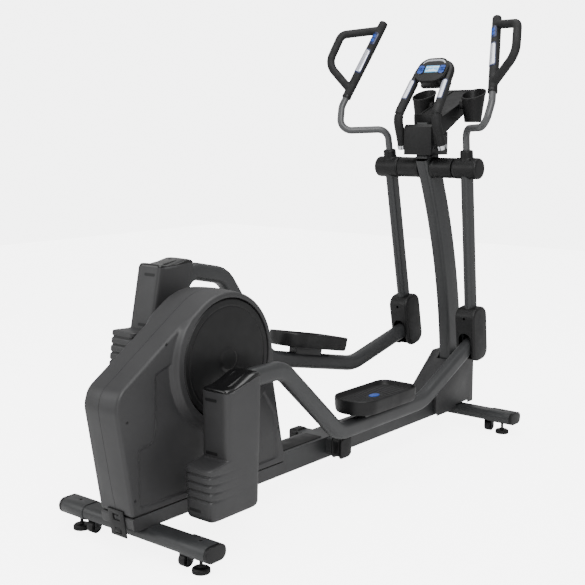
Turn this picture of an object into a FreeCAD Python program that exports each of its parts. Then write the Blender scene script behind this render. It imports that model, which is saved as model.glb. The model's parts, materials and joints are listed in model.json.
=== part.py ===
import FreeCAD, Part
import Sketcher
import math
import os
import re

# Rear-drive elliptical trainer. X points forward, towards the console, Y to the user's left, Z up.
# The origin is on the floor, in the middle of the overall length and width.
doc = FreeCAD.newDocument("EllipticalTrainer")
vec = FreeCAD.Vector
sheet = doc.addObject("Spreadsheet::Sheet", "Sizes")
known = {}
parts = []


def store(alias, number, note):
    """One row of the sheet: note, plain number, alias."""
    line = len(known) + 1
    known[alias] = float(number)
    sheet.set("A%d" % line, note)
    sheet.set("B%d" % line, repr(round(float(number), 6)))
    sheet.setAlias("B%d" % line, alias)


# Driving dimensions, in millimetres and degrees. Stations are measured forward from the rear feet.
for alias, number, note in [
    ("base_length", 1709, "rear feet to front feet"),
    ("housing_overhang", 131, "drive housing behind the rear feet"),
    ("cowl_overhang", 88, "front cowl ahead of the front feet"),
    ("stabilizer_half", 298, "half length of a stabilizer without its caps"),
    ("stabilizer_depth", 74, "stabilizer section along X"),
    ("stabilizer_height", 42, "stabilizer section along Z"),
    ("stabilizer_level", 68, "height of the stabilizer's middle"),
    ("sleeve_length", 96, "thicker sleeve at each stabilizer end"),
    ("sleeve_step", 2.5, "how far the sleeve stands proud"),
    ("tube_wall", 2.5, "wall of the stabilizer tubes"),
    ("cap_length", 12, "plastic end cap outside its tube"),
    ("foot_offset", 251, "levelling foot from the middle plane"),
    ("foot_radius", 26, "levelling foot pad"),
    ("stud_radius", 5, "levelling foot stud"),
    ("roller_offset", 193, "roller from the middle plane"),
    ("roller_radius", 20, "roller"),
    ("roller_lift", 2, "roller clear of the floor"),
    ("roller_width", 24, "roller"),
    ("pin_radius", 4, "roller pin"),
    ("rail_width", 100, "main rail"),
    ("rail_bottom", 78, "height of the rail's underside"),
    ("rail_top", 150, "height of the rail's top"),
    ("rail_wall", 3, "main rail wall"),
    ("cross_station", 850, "cross member"),
    ("cross_half", 93, "half length of the cross member"),
    ("cross_width", 54, "cross member along X"),
    ("plate_wall", 6, "drive upright plates"),
    ("crank_station", 298, "crank axle"),
    ("crank_height", 519, "crank axle"),
    ("crank_radius", 150, "axle to crank pin"),
    ("crank_lean", 17.7, "crank from the vertical at rest, degrees"),
    ("axle_radius", 12.5, "crank axle"),
    ("bearing_radius", 26, "outside of the crank bearings"),
    ("disc_radius", 182, "crank disc"),
    ("drive_radius", 150, "large belt pulley on the crank"),
    ("step_station", 40, "step-up shaft"),
    ("step_height", 390, "step-up shaft"),
    ("step_small_radius", 30, "small pulley on the step-up shaft"),
    ("step_large_radius", 95, "large pulley on the step-up shaft"),
    ("flywheel_station", 215, "generator flywheel"),
    ("flywheel_height", 262, "generator flywheel"),
    ("flywheel_radius", 88, "generator flywheel"),
    ("flywheel_pulley_radius", 24, "generator pulley"),
    ("shaft_radius", 8, "step-up and generator shafts"),
    ("belt_wall", 3, "belt thickness"),
    ("belt_width", 14, "belt width"),
    ("belt_plane", 29, "belt from the middle plane"),
    ("running_fit", 0.05, "radial clearance of a shaft in its bore"),
    ("housing_half", 69, "half width of the drive housing"),
    ("housing_crown", 202, "housing round the crank axle"),
    ("bezel_height", 15, "ring round the disc, out from the housing side"),
    ("shell_wall", 3, "moulded shells"),
    ("skirt_bottom", 92, "lower edge of the housing skirts"),
    ("skirt_top", 127.5, "upper edge of the housing skirts"),
    ("inlet_width", 64, "power inlet panel"),
    ("inlet_height", 84, "power inlet panel"),
    ("pivot_station", 1521, "swing arm axle"),
    ("pivot_height", 1049, "swing arm axle"),
    ("rocker_length", 675, "swing arm axle to lower joint"),
    ("arm_reach", 1338, "crank pin to lower joint"),
    ("arm_plane", 170, "pedal and swing arms from the middle plane"),
    ("arm_depth", 57, "pedal arm section, vertical"),
    ("arm_width", 46, "pedal arm section, across"),
    ("arm_wall", 3, "pedal arm tube wall"),
    ("arm_crest", 100, "top of the gooseneck above the crank pin"),
    ("arm_drop", 163, "pedal stretch below the crank pin"),
    ("cover_inner", 138, "inner face of the link covers"),
    ("cover_outer", 240, "outer face of the link covers"),
    ("cover_gap", 4, "crank pin's end short of its link cover"),
    ("boot_width", 84, "cover over each lower joint, across"),
    ("pedal_station", 680, "pedal middle from the crank pin"),
    ("pedal_length", 336, "footplate"),
    ("pedal_width", 162, "footplate"),
    ("pedal_rim", 50, "height of the footplate's rim"),
    ("pedal_floor", 28, "top of the footplate's floor above its underside"),
    ("swing_depth", 60, "swing arm oval tube, fore and aft"),
    ("swing_width", 34, "swing arm oval tube, across"),
    ("pivot_radius", 12.5, "swing arm axle"),
    ("hub_radius", 30, "swing arm hub tube"),
    ("hub_cover_radius", 40, "plastic cover over the hub"),
    ("hub_inner", 120, "inner end of the hub from the middle plane"),
    ("hub_outer", 218, "outer end of the hub from the middle plane"),
    ("mast_station", 1722, "foot of the mast"),
    ("mast_bend", 2200, "radius of the mast's backward curve"),
    ("mast_rise", 945, "height of the mast above the rail"),
    ("mast_depth", 100, "mast section, fore and aft"),
    ("mast_width", 52, "mast section, across"),
    ("mast_wall", 3, "mast tube wall"),
    ("handle_radius", 13.5, "moving handlebar tube"),
    ("grip_radius", 17.5, "moving handlebar grip"),
    ("loop_radius", 16, "outer loop of the grip"),
    ("bar_radius", 15.5, "fixed handlebar"),
    ("cup_radius", 46, "cup holder at its mouth"),
    ("cup_height", 108, "cup holder"),
    ("cup_slant", 24, "slant of the cup holders' mouths, degrees"),
]:
    store(alias, number, note)

# Worked-out sizes.
overall = known["housing_overhang"] + known["base_length"] + known["cowl_overhang"]
store("rear_line", known["housing_overhang"] - overall / 2, "X of the rear feet")
store("front_line", known["rear_line"] + known["base_length"], "X of the front feet")
store("stabilizer_top", known["stabilizer_level"] + known["stabilizer_height"] / 2, "tube top")
store("roller_level", known["roller_radius"] + known["roller_lift"], "height of the roller pins")
store("crank_line", known["rear_line"] + known["crank_station"], "X of the crank axle")
store("pivot_line", known["rear_line"] + known["pivot_station"], "X of the swing arm axle")
store("step_line", known["rear_line"] + known["step_station"], "X of the step-up shaft")
store("flywheel_line", known["rear_line"] + known["flywheel_station"], "X of the generator")
store("mast_line", known["rear_line"] + known["mast_station"], "X of the mast's foot")


def rest_pose(turn):
    """Pin, lower joint and the two turns about +Y of one side's arms at a crank direction."""
    pin_x = known["crank_line"] + known["crank_radius"] * math.sin(turn)
    pin_z = known["crank_height"] - known["crank_radius"] * math.cos(turn)
    gap_x = known["pivot_line"] - pin_x
    gap_z = known["pivot_height"] - pin_z
    gap = math.hypot(gap_x, gap_z)
    along = (known["arm_reach"] ** 2 - known["rocker_length"] ** 2 + gap ** 2) / (2 * gap)
    across = math.sqrt(known["arm_reach"] ** 2 - along ** 2)
    joint_x = pin_x + (along * gap_x + across * gap_z) / gap
    joint_z = pin_z + (along * gap_z - across * gap_x) / gap
    arm_turn = -math.degrees(math.atan2(joint_z - pin_z, joint_x - pin_x))
    lean = math.asin((joint_x - known["pivot_line"]) / known["rocker_length"])
    return pin_x, pin_z, joint_x, joint_z, arm_turn, -math.degrees(lean)


sides = {"right": -1, "left": 1}
for side, turn in (("right", -known["crank_lean"]), ("left", 180 - known["crank_lean"])):
    names = ("pin_line", "pin_height", "joint_line", "joint_height", "arm_turn", "swing_turn")
    for name, number in zip(names, rest_pose(math.radians(turn))):
        store("%s_%s" % (side, name), number, "%s side at rest" % side)


def tangent_point(x, z, side):
    """Where the line from (x, z) touches the housing crown; side +1 is the far side of the turn."""
    gap_x = known["crank_line"] - x
    gap_z = known["crank_height"] - z
    gap = math.hypot(gap_x, gap_z)
    turn = math.atan2(gap_z, gap_x) + side * math.asin(known["housing_crown"] / gap)
    reach = math.sqrt(gap ** 2 - known["housing_crown"] ** 2)
    return x + reach * math.cos(turn), z + reach * math.sin(turn)


def inset(points, distance):
    """The outline moved inwards by a wall; the points run clockwise seen from -Y."""
    moved = []
    for index, (x, z) in enumerate(points):
        before = points[index - 1]
        after = points[(index + 1) % len(points)]
        first = vec(x - before[0], 0, z - before[1]).normalize()
        second = vec(after[0] - x, 0, after[1] - z).normalize()
        normal = vec(first.z + second.z, 0, -first.x - second.x)
        scale = distance / (1 + first.dot(second))
        moved.append((x + normal.x * scale, z + normal.z * scale))
    return moved


rear = known["rear_line"]
shell = [(rear - 78, 128), (rear - known["housing_overhang"], 445), (rear - 117, 490)]
shell.append(tangent_point(shell[2][0], shell[2][1], 1))
shell.append(tangent_point(rear + 583, 128, -1))
shell.append((rear + 583, 128))
corners = ("rear_low", "rear_mid", "rear_high", "crown_rear", "crown_front", "front_low")
for prefix, outline in (("shell", shell), ("lining", inset(shell, known["shell_wall"]))):
    for corner, (x, z) in zip(corners, outline):
        store("%s_%s_x" % (prefix, corner), x, "housing outline")
        store("%s_%s_z" % (prefix, corner), z, "housing outline")
doc.recompute()


# Helpers. An expression names cells of the sheet by their aliases.
def formula(text):
    return re.sub(r"[a-z]+(?:_[a-z]+)+", lambda found: "Sizes." + found.group(0), str(text))


def bind(item, **cells):
    for name, text in cells.items():
        item.setExpression(name, formula(text))


def place(item, at, path="Placement.Base"):
    for axis, text in zip("xyz", at):
        item.setExpression("%s.%s" % (path, axis), formula(text))


def start_body(label):
    body = doc.addObject("PartDesign::Body", label)
    body.Label = label
    parts.append(body)
    return body


def block(body, name, sizes, corner, cut=False):
    """A box of the given X, Y and Z sizes from its lowest corner."""
    kind = "PartDesign::SubtractiveBox" if cut else "PartDesign::AdditiveBox"
    item = body.newObject(kind, name)
    bind(item, Length=sizes[0], Width=sizes[1], Height=sizes[2])
    place(item, corner)
    return item


turns = {"X": FreeCAD.Rotation(vec(0, 1, 0), 90), "Y": FreeCAD.Rotation(vec(1, 0, 0), -90),
         "Z": FreeCAD.Rotation()}


def rod(body, name, radius, length, middle, along="Y", cut=False):
    """A cylinder along one axis about its middle."""
    kind = "PartDesign::SubtractiveCylinder" if cut else "PartDesign::AdditiveCylinder"
    item = body.newObject(kind, name)
    bind(item, Radius=radius, Height=length)
    item.Placement = FreeCAD.Placement(vec(), turns[along])
    at = list(middle)
    index = "XYZ".index(along)
    at[index] = "%s - (%s) / 2" % (at[index], length)
    place(item, at)
    return item


def flat_sketch(body, name, role, offset="0"):
    """A sketch on one of the body's own planes, moved along the plane's normal."""
    sketch = body.newObject("Sketcher::SketchObject", name)
    plane = [item for item in body.Origin.OriginFeatures if item.Role == role][0]
    sketch.AttachmentSupport = [(plane, "")]
    sketch.MapMode = "FlatFace"
    sketch.setExpression("AttachmentOffset.Base.z", formula(offset))
    return sketch


def number_of(text):
    """The present value of an expression, as a starting guess for the sketch solver."""
    filled = re.sub(r"[a-z]+(?:_[a-z]+)+", lambda found: repr(known[found.group(0)]), str(text))
    return float(FreeCAD.Units.Quantity(filled.replace(" ", "")).Value)


def polygon(sketch, points):
    """A closed outline; every corner's two coordinates are bound to the sheet."""
    spots = [(number_of(u), number_of(v)) for u, v in points]
    for index, spot in enumerate(spots):
        after = spots[(index + 1) % len(spots)]
        sketch.addGeometry(Part.LineSegment(vec(spot[0], spot[1], 0), vec(after[0], after[1], 0)))
    count = len(points)
    for index in range(count):
        sketch.addConstraint(Sketcher.Constraint("Coincident", index, 2, (index + 1) % count, 1))
    for index, (u, v) in enumerate(points):
        for kind, text, start in (("DistanceX", u, spots[index][0]), ("DistanceY", v, spots[index][1])):
            which = sketch.addConstraint(Sketcher.Constraint(kind, index, 1, start))
            sketch.setExpression("Constraints[%d]" % which, formula(text))


def rounded(sketch, width, height, radius):
    """A rounded rectangle about the sketch's origin."""
    half_u = number_of(width) / 2
    half_v = number_of(height) / 2
    bend = number_of(radius)
    corners = [(1, 1), (-1, 1), (-1, -1), (1, -1)]
    for index, (u, v) in enumerate(corners):
        middle = vec(u * (half_u - bend), v * (half_v - bend), 0)
        begin = math.radians(90 * index)
        arc = Part.ArcOfCircle(Part.Circle(middle, vec(0, 0, 1), bend), begin, begin + math.pi / 2)
        sketch.addGeometry(arc)
    for index, (u, v) in enumerate(corners):
        after = corners[(index + 1) % 4]
        step_u = 0 if u != after[0] else 1
        step_v = 1 - step_u
        begin = vec(u * (half_u - bend * step_v), v * (half_v - bend * step_u), 0)
        end = vec(after[0] * (half_u - bend * step_v), after[1] * (half_v - bend * step_u), 0)
        sketch.addGeometry(Part.LineSegment(begin, end))
    for index in range(4):
        sketch.addConstraint(Sketcher.Constraint("Tangent", index, 2, 4 + index, 1))
        sketch.addConstraint(Sketcher.Constraint("Tangent", 4 + index, 2, (index + 1) % 4, 1))
        sketch.addConstraint(Sketcher.Constraint("Horizontal" if index % 2 == 0 else "Vertical", 4 + index))
    for index in range(1, 4):
        sketch.addConstraint(Sketcher.Constraint("Equal", 0, index))
    sketch.addConstraint(Sketcher.Constraint("Symmetric", 0, 3, 2, 3, -1, 1))
    which = sketch.addConstraint(Sketcher.Constraint("Radius", 0, bend))
    sketch.setExpression("Constraints[%d]" % which, formula(radius))
    which = sketch.addConstraint(Sketcher.Constraint("DistanceX", 1, 3, 0, 3, 2 * (half_u - bend)))
    sketch.setExpression("Constraints[%d]" % which, formula("(%s) - 2 * (%s)" % (width, radius)))
    which = sketch.addConstraint(Sketcher.Constraint("DistanceY", 3, 3, 0, 3, 2 * (half_v - bend)))
    sketch.setExpression("Constraints[%d]" % which, formula("(%s) - 2 * (%s)" % (height, radius)))


def thicken(body, sketch, length, cut=False):
    """Pad or pocket a sketch by half the length to each side of its plane."""
    kind = "PartDesign::Pocket" if cut else "PartDesign::Pad"
    item = body.newObject(kind, sketch.Name + ("_cut" if cut else "_pad"))
    item.Profile = sketch
    item.SideType = "Symmetric"
    bind(item, Length=length)
    return item


def slab(body, name, points, middle, thickness, cut=False):
    """An outline in X and Z, given thickness along Y about its middle."""
    sketch = flat_sketch(body, name, "XZ_Plane", "-1 * (%s)" % middle)
    polygon(sketch, points)
    return thicken(body, sketch, thickness, cut)


def computed(label, shape):
    """A sub-part whose shape is worked out with Part's own functions from the sheet's sizes."""
    item = doc.addObject("Part::Feature", label)
    item.Label = label
    item.Shape = shape
    parts.append(item)
    return item


def ring(outer, inner, length, middle, axis=vec(0, 1, 0)):
    """A tube about its middle."""
    start = middle.sub(axis * (length / 2))
    tube = Part.makeCylinder(outer, length, start, axis)
    return tube.cut(Part.makeCylinder(inner, length, start, axis)) if inner else tube


def bent_wire(points, bends):
    """Straight runs joined by tangent arcs, one bend radius for each inner point."""
    edges = []
    last = points[0]
    for index, bend in enumerate(bends):
        corner = points[index + 1]
        back = points[index].sub(corner).normalize()
        ahead = points[index + 2].sub(corner).normalize()
        turn = math.pi - back.getAngle(ahead)
        trim = bend * math.tan(turn / 2)
        begin = corner.add(back * trim)
        end = corner.add(ahead * trim)
        inward = back.add(ahead).normalize()
        middle = corner.add(inward * (bend / math.cos(turn / 2) - bend))
        edges.append(Part.LineSegment(last, begin).toShape())
        edges.append(Part.Arc(begin, middle, end).toShape())
        last = end
    edges.append(Part.LineSegment(last, points[-1]).toShape())
    return Part.Wire(edges)


def swept(path, profile):
    """A closed profile wire carried along a path, as a solid."""
    pipe = Part.BRepOffsetAPI.MakePipeShell(path)
    pipe.setFrenetMode(False)
    pipe.setTransitionMode(1)
    pipe.add(profile)
    pipe.build()
    pipe.makeSolid()
    return pipe.shape()


def round_tube(points, bends, radius):
    path = bent_wire(points, bends)
    run = points[1].sub(points[0])
    return swept(path, Part.Wire(Part.Circle(points[0], run, radius).toShape()))


def oval_wire(width, height, radius, turn, at):
    """A rounded rectangle in the plane of the given turn, as a wire."""
    half_u = width / 2
    half_v = height / 2
    spots = [(half_u - radius, half_v), (-half_u + radius, half_v), (-half_u, half_v - radius),
             (-half_u, -half_v + radius), (-half_u + radius, -half_v), (half_u - radius, -half_v),
             (half_u, -half_v + radius), (half_u, half_v - radius)]
    spots = [vec(u, v, 0) for u, v in spots]
    middles = [(-1, 1), (-1, -1), (1, -1), (1, 1)]
    edges = []
    for index, (u, v) in enumerate(middles):
        begin = spots[2 * index + 1]
        end = spots[(2 * index + 2) % 8]
        reach = radius * math.sqrt(0.5)
        middle = vec(u * (half_u - radius + reach), v * (half_v - radius + reach), 0)
        edges.append(Part.LineSegment(spots[2 * index], begin).toShape())
        edges.append(Part.Arc(begin, middle, end).toShape())
    wire = Part.Wire(edges)
    wire.Placement = FreeCAD.Placement(at, turn)
    return wire


# Base frame: a boxed rail notched over the stabilizers, with the drive uprights and a cross member.
main_frame = start_body("main_frame")
saddle = "(stabilizer_depth / 2 + 5)"
slab(main_frame, "Beam", [
    ("rear_line - 30", "stabilizer_top"), ("rear_line + %s" % saddle, "stabilizer_top"),
    ("rear_line + %s" % saddle, "rail_bottom"), ("front_line - %s" % saddle, "rail_bottom"),
    ("front_line - %s" % saddle, "stabilizer_top"), ("front_line + 36", "stabilizer_top"),
    ("front_line + 36", "rail_top"), ("rear_line - 30", "rail_top")], "0", "rail_width")
block(main_frame, "CrossMember", ("cross_width", "2 * cross_half", "rail_top - rail_bottom - 16"),
      ("rear_line + cross_station - cross_width / 2", "-1 * cross_half", "rail_bottom + 14"))
block(main_frame, "UpperVoid",
      ("base_length + 70", "rail_width - 2 * rail_wall", "rail_top - stabilizer_top - 2 * rail_wall"),
      ("rear_line - 32", "rail_wall - rail_width / 2", "stabilizer_top + rail_wall"), cut=True)
block(main_frame, "LowerVoid",
      ("base_length - 2 * %s - 2 * rail_wall" % saddle, "rail_width - 2 * rail_wall",
       "stabilizer_top - rail_bottom + 1"),
      ("rear_line + %s + rail_wall" % saddle, "rail_wall - rail_width / 2", "rail_bottom + rail_wall"),
      cut=True)
upright = [
    ("step_line - 55", "rail_top"), ("step_line - 55", "step_height + 20"),
    ("step_line + 10", "step_height + 62"), ("crank_line - 66", "crank_height + 44"),
    ("crank_line + 52", "crank_height + 44"), ("crank_line + 52", "crank_height - 60"),
    ("crank_line + 20", "rail_top")]
for side, sign in sides.items():
    slab(main_frame, "Upright" + side.title(), upright,
         "%d * (rail_width / 2 - plate_wall / 2)" % sign, "plate_wall")
rod(main_frame, "CrankBores", "bearing_radius", "rail_width + 2",
    ("crank_line", "0", "crank_height"), cut=True)
rod(main_frame, "StepBores", "shaft_radius + running_fit", "rail_width + 2",
    ("step_line", "0", "step_height"), cut=True)
rod(main_frame, "GeneratorBores", "shaft_radius + running_fit", "rail_width + 2",
    ("flywheel_line", "0", "flywheel_height"), cut=True)

# Stabilizers: oblong tubes with a thicker sleeve at each end, feet holes and roller brackets.
for place_name in ("rear", "front"):
    line = place_name + "_line"
    tube = start_body(place_name + "_stabilizer")
    place(tube, (line, "0", "stabilizer_level"))
    core = flat_sketch(tube, "Core", "XZ_Plane")
    rounded(core, "stabilizer_depth", "stabilizer_height", "stabilizer_height / 2 - 1")
    thicken(tube, core, "2 * stabilizer_half")
    for side, sign in sides.items():
        sleeve = flat_sketch(tube, "Sleeve" + side.title(), "XZ_Plane",
                             "%d * (stabilizer_half - sleeve_length / 2)" % -sign)
        rounded(sleeve, "stabilizer_depth + 2 * sleeve_step", "stabilizer_height + 2 * sleeve_step",
                "stabilizer_height / 2 - 1 + sleeve_step")
        thicken(tube, sleeve, "sleeve_length")
        for edge, name in ((-1, "Inner"), (1, "Outer")):
            block(tube, "Bracket%s%s" % (side.title(), name),
                  ("20", "3", "stabilizer_level - roller_level - stabilizer_height / 2 + 11"),
                  ("-10", "%d * roller_offset + %d * (roller_width / 2 + 3.5) - 1.5" % (sign, edge),
                   "roller_level - stabilizer_level - 8"))
    hollow = flat_sketch(tube, "Hollow", "XZ_Plane")
    rounded(hollow, "stabilizer_depth - 2 * tube_wall", "stabilizer_height - 2 * tube_wall",
            "stabilizer_height / 2 - 1 - tube_wall")
    thicken(tube, hollow, "2 * stabilizer_half + 2", cut=True)
    for side, sign in sides.items():
        rod(tube, "Pin" + side.title(), "pin_radius", "roller_width + 16",
            ("0", "%d * roller_offset" % sign, "roller_level - stabilizer_level"))
        rod(tube, "FootHole" + side.title(), "stud_radius", "stabilizer_height + 20",
            ("0", "%d * foot_offset" % sign, "0"), along="Z", cut=True)

k = {alias: float(sheet.get(alias)) for alias in known}
cap_wire_radius = k["stabilizer_height"] / 2 - 1
cross_x = k["rear_line"] + k["cross_station"]
stand_up = FreeCAD.Rotation(vec(1, 0, 0), 90)
caps = []
feet = []
for line in ("rear_line", "front_line"):
    for sign in sides.values():
        for grow, start, length in ((k["sleeve_step"], 0, k["cap_length"]),
                                    (-k["tube_wall"] - 0.2, -10, 10)):
            at = vec(k[line], sign * (k["stabilizer_half"] + start), k["stabilizer_level"])
            wire = oval_wire(k["stabilizer_depth"] + 2 * grow, k["stabilizer_height"] + 2 * grow,
                             cap_wire_radius + grow, stand_up, at)
            plug = Part.Face(wire).extrude(vec(0, sign * length, 0))
            if start == 0:
                cap = plug
        caps.append(cap.fuse(plug).removeSplitter())
        base = vec(k[line], sign * k["foot_offset"], 0)
        pad = Part.makeCone(k["foot_radius"], k["foot_radius"] - 5, 9, base)
        neck = Part.makeCone(k["foot_radius"] - 9, k["stud_radius"] + 3, 12, base.add(vec(0, 0, 9)))
        top = k["stabilizer_level"] + k["stabilizer_height"] / 2 + 4
        stud = Part.makeCylinder(k["stud_radius"], top, base)
        feet.append(pad.fuse([neck, stud]).removeSplitter())
        nut_wire = Part.makePolygon([
            vec(9 * math.cos(math.radians(60 * step)), 9 * math.sin(math.radians(60 * step)), 0)
            for step in range(7)])
        nut = Part.Face(nut_wire).extrude(vec(0, 0, 6))
        nut = nut.cut(Part.makeCylinder(k["stud_radius"], 6))
        under = k["stabilizer_level"] - k["stabilizer_height"] / 2 - k["sleeve_step"] - 6
        nut.translate(vec(base.x, base.y, under))
        feet.append(nut)
for sign in sides.values():
    height = k["rail_top"] - k["rail_bottom"] - 16
    middle = k["rail_bottom"] + 14 + height / 2
    at = vec(cross_x, sign * k["cross_half"], middle)
    wire = oval_wire(k["cross_width"] + 6, height + 6, 10, stand_up, at)
    caps.append(Part.Face(wire).extrude(vec(0, sign * 22, 0)))
computed("frame_end_caps", Part.makeCompound(caps))
computed("levelling_feet", Part.makeCompound(feet))
for place_name in ("rear", "front"):
    pair = [ring(k["roller_radius"], k["pin_radius"] + k["running_fit"], k["roller_width"],
                 vec(k[place_name + "_line"], sign * k["roller_offset"], k["roller_level"]))
            for sign in sides.values()]
    computed(place_name + "_rollers", Part.makeCompound(pair))

# Drive: crank axle with its arms and pins, discs, two belt stages and the generator flywheel.
crank_middle = vec(k["crank_line"], 0, k["crank_height"])
axle = Part.makeCylinder(k["axle_radius"], 2 * 74, crank_middle.add(vec(0, -74, 0)), vec(0, 1, 0))
discs = []
for side, sign in sides.items():
    pin = vec(k[side + "_pin_line"], 0, k[side + "_pin_height"])
    wire = Part.Wire([Part.LineSegment(vec(-20, 0, 0), vec(-20, 0, k["crank_radius"])).toShape(),
                      Part.Arc(vec(-20, 0, k["crank_radius"]), vec(0, 0, k["crank_radius"] + 20),
                               vec(20, 0, k["crank_radius"])).toShape(),
                      Part.LineSegment(vec(20, 0, k["crank_radius"]), vec(20, 0, 0)).toShape(),
                      Part.Arc(vec(20, 0, 0), vec(0, 0, -20), vec(-20, 0, 0)).toShape()])
    arm = Part.Face(wire).extrude(vec(0, 12, 0))
    reach = pin.sub(vec(crank_middle.x, 0, crank_middle.z))
    lean = math.degrees(math.atan2(reach.x, reach.z))
    arm.Placement = FreeCAD.Placement(vec(crank_middle.x, 62 if sign > 0 else -74, crank_middle.z),
                                      FreeCAD.Rotation(vec(0, 1, 0), lean))
    stub = Part.makeCylinder(10, k["cover_inner"] - k["cover_gap"] - 62, vec(pin.x, sign * 62, pin.z),
                             vec(0, sign, 0))
    axle = axle.fuse([arm, stub])
    disc = ring(k["disc_radius"], 0, 4, vec(crank_middle.x, sign * 79, crank_middle.z))
    hub = ring(34, 0, 3, vec(crank_middle.x, sign * 75.5, crank_middle.z))
    lip = ring(k["disc_radius"], k["disc_radius"] - 4, 8, vec(crank_middle.x, sign * 75, crank_middle.z))
    disc = disc.fuse([hub, lip]).cut(Part.makeCylinder(10.3, 40, vec(pin.x, sign * 60, pin.z),
                                                       vec(0, sign, 0)))
    discs.append(disc.removeSplitter())
computed("crankshaft", axle.removeSplitter())
computed("crank_discs", Part.makeCompound(discs))


def spoked_wheel(radius, bore, width, middle, rim, web):
    """A pulley or flywheel: rim and hub of full width, joined by a thinner web."""
    wheel = ring(radius, bore, width, middle)
    hollow = ring(radius - rim, bore + 10, width, middle)
    return wheel.cut(hollow).fuse(ring(radius - rim, bore + 10, web, middle)).removeSplitter()


belt_y = k["belt_plane"]
computed("drive_pulley", spoked_wheel(k["drive_radius"], k["axle_radius"], k["belt_width"] + 4,
                                      vec(k["crank_line"], belt_y, k["crank_height"]), 12, 5))
step_middle = vec(k["step_line"], 0, k["step_height"])
shaft = Part.makeCylinder(k["shaft_radius"], k["rail_width"], step_middle.add(vec(0, -50, 0)),
                          vec(0, 1, 0))
small = ring(k["step_small_radius"], k["shaft_radius"], k["belt_width"] + 4,
             step_middle.add(vec(0, belt_y, 0)))
large = spoked_wheel(k["step_large_radius"], k["shaft_radius"], k["belt_width"] + 4,
                     step_middle.add(vec(0, -belt_y, 0)), 10, 5)
computed("step_up_pulley", shaft.fuse([small, large]).removeSplitter())
fly_middle = vec(k["flywheel_line"], 0, k["flywheel_height"])
shaft = Part.makeCylinder(k["shaft_radius"], k["rail_width"], fly_middle.add(vec(0, -50, 0)),
                          vec(0, 1, 0))
wheel = spoked_wheel(k["flywheel_radius"], k["shaft_radius"], 26, fly_middle.add(vec(0, 2, 0)), 22, 10)
pulley = ring(k["flywheel_pulley_radius"], k["shaft_radius"], k["belt_width"] + 4,
              fly_middle.add(vec(0, -belt_y, 0)))
computed("generator_flywheel", shaft.fuse([wheel, pulley]).removeSplitter())


def belt(first, first_radius, second, second_radius, y):
    """A flat belt in the gap outside two pulleys, half a millimetre off their rims."""
    run = vec(second.x - first.x, 0, second.z - first.z)
    gap = run.Length
    tilt = math.acos((first_radius - second_radius) / gap)
    loops = []
    for grow in (0.5, 0.5 + k["belt_wall"]):
        spots = []
        heading = math.atan2(run.z, run.x)
        for centre, radius in ((first, first_radius + grow), (second, second_radius + grow)):
            for side in (1, -1):
                angle = heading + side * tilt
                spots.append(vec(centre.x + radius * math.cos(angle), y,
                                 centre.z + radius * math.sin(angle)))
        far = vec(second.x + (second_radius + grow) * math.cos(heading), y,
                  second.z + (second_radius + grow) * math.sin(heading))
        near = vec(first.x - (first_radius + grow) * math.cos(heading), y,
                   first.z - (first_radius + grow) * math.sin(heading))
        loops.append(Part.Wire([Part.LineSegment(spots[0], spots[2]).toShape(),
                                Part.Arc(spots[2], far, spots[3]).toShape(),
                                Part.LineSegment(spots[3], spots[1]).toShape(),
                                Part.Arc(spots[1], near, spots[0]).toShape()]))
    width = vec(0, k["belt_width"], 0)
    outer = Part.Face(loops[1]).extrude(width)
    band = outer.cut(Part.Face(loops[0]).extrude(width))
    band.translate(vec(0, -k["belt_width"] / 2, 0))
    return band


computed("drive_belts", Part.makeCompound([
    belt(crank_middle, k["drive_radius"], step_middle, k["step_small_radius"], belt_y),
    belt(step_middle, k["step_large_radius"], fly_middle, k["flywheel_pulley_radius"], -belt_y)]))
computed("crank_bearings", Part.makeCompound([
    ring(k["bearing_radius"], k["axle_radius"] + k["running_fit"], k["plate_wall"] + 6,
         vec(k["crank_line"], sign * (k["rail_width"] / 2 - k["plate_wall"] / 2 + 2), k["crank_height"]))
    for sign in sides.values()]))

# Housing: two moulded shells that meet on the middle plane, and a skirt below each.
for side, sign in sides.items():
    case = start_body("housing_%s_shell" % side)
    names = [("shell_%s_x" % corner, "shell_%s_z" % corner) for corner in corners]
    slab(case, "Outer", names, "%d * housing_half / 2" % sign, "housing_half")
    rod(case, "Crown", "housing_crown", "housing_half",
        ("crank_line", "%d * housing_half / 2" % sign, "crank_height"))
    rod(case, "Bezel", "disc_radius + 14", "bezel_height + shell_wall",
        ("crank_line", "%d * (housing_half + (bezel_height - shell_wall) / 2)" % sign, "crank_height"))
    names = [("lining_%s_x" % corner, "lining_%s_z - %d" % (corner, 8 if "low" in corner else 0))
             for corner in corners]
    slab(case, "Inner", names, "%d * (housing_half - shell_wall) / 2" % sign,
         "housing_half - shell_wall", cut=True)
    rod(case, "CrownInner", "housing_crown - shell_wall", "housing_half - shell_wall",
        ("crank_line", "%d * (housing_half - shell_wall) / 2" % sign, "crank_height"), cut=True)
    rod(case, "DiscOpening", "disc_radius + 2", "60",
        ("crank_line", "%d * (housing_half + 10)" % sign, "crank_height"), cut=True)
    block(case, "RailNotch", ("60", "rail_width + 1", "rail_top + 0.5 - 120"),
          ("shell_front_low_x - 30", "-1 * rail_width / 2 - 0.5", "120"), cut=True)
    block(case, "InletNotch", ("40", "inlet_width - 8", "30"),
          ("shell_rear_low_x - 20", "4 - inlet_width / 2", "120"), cut=True)

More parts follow.
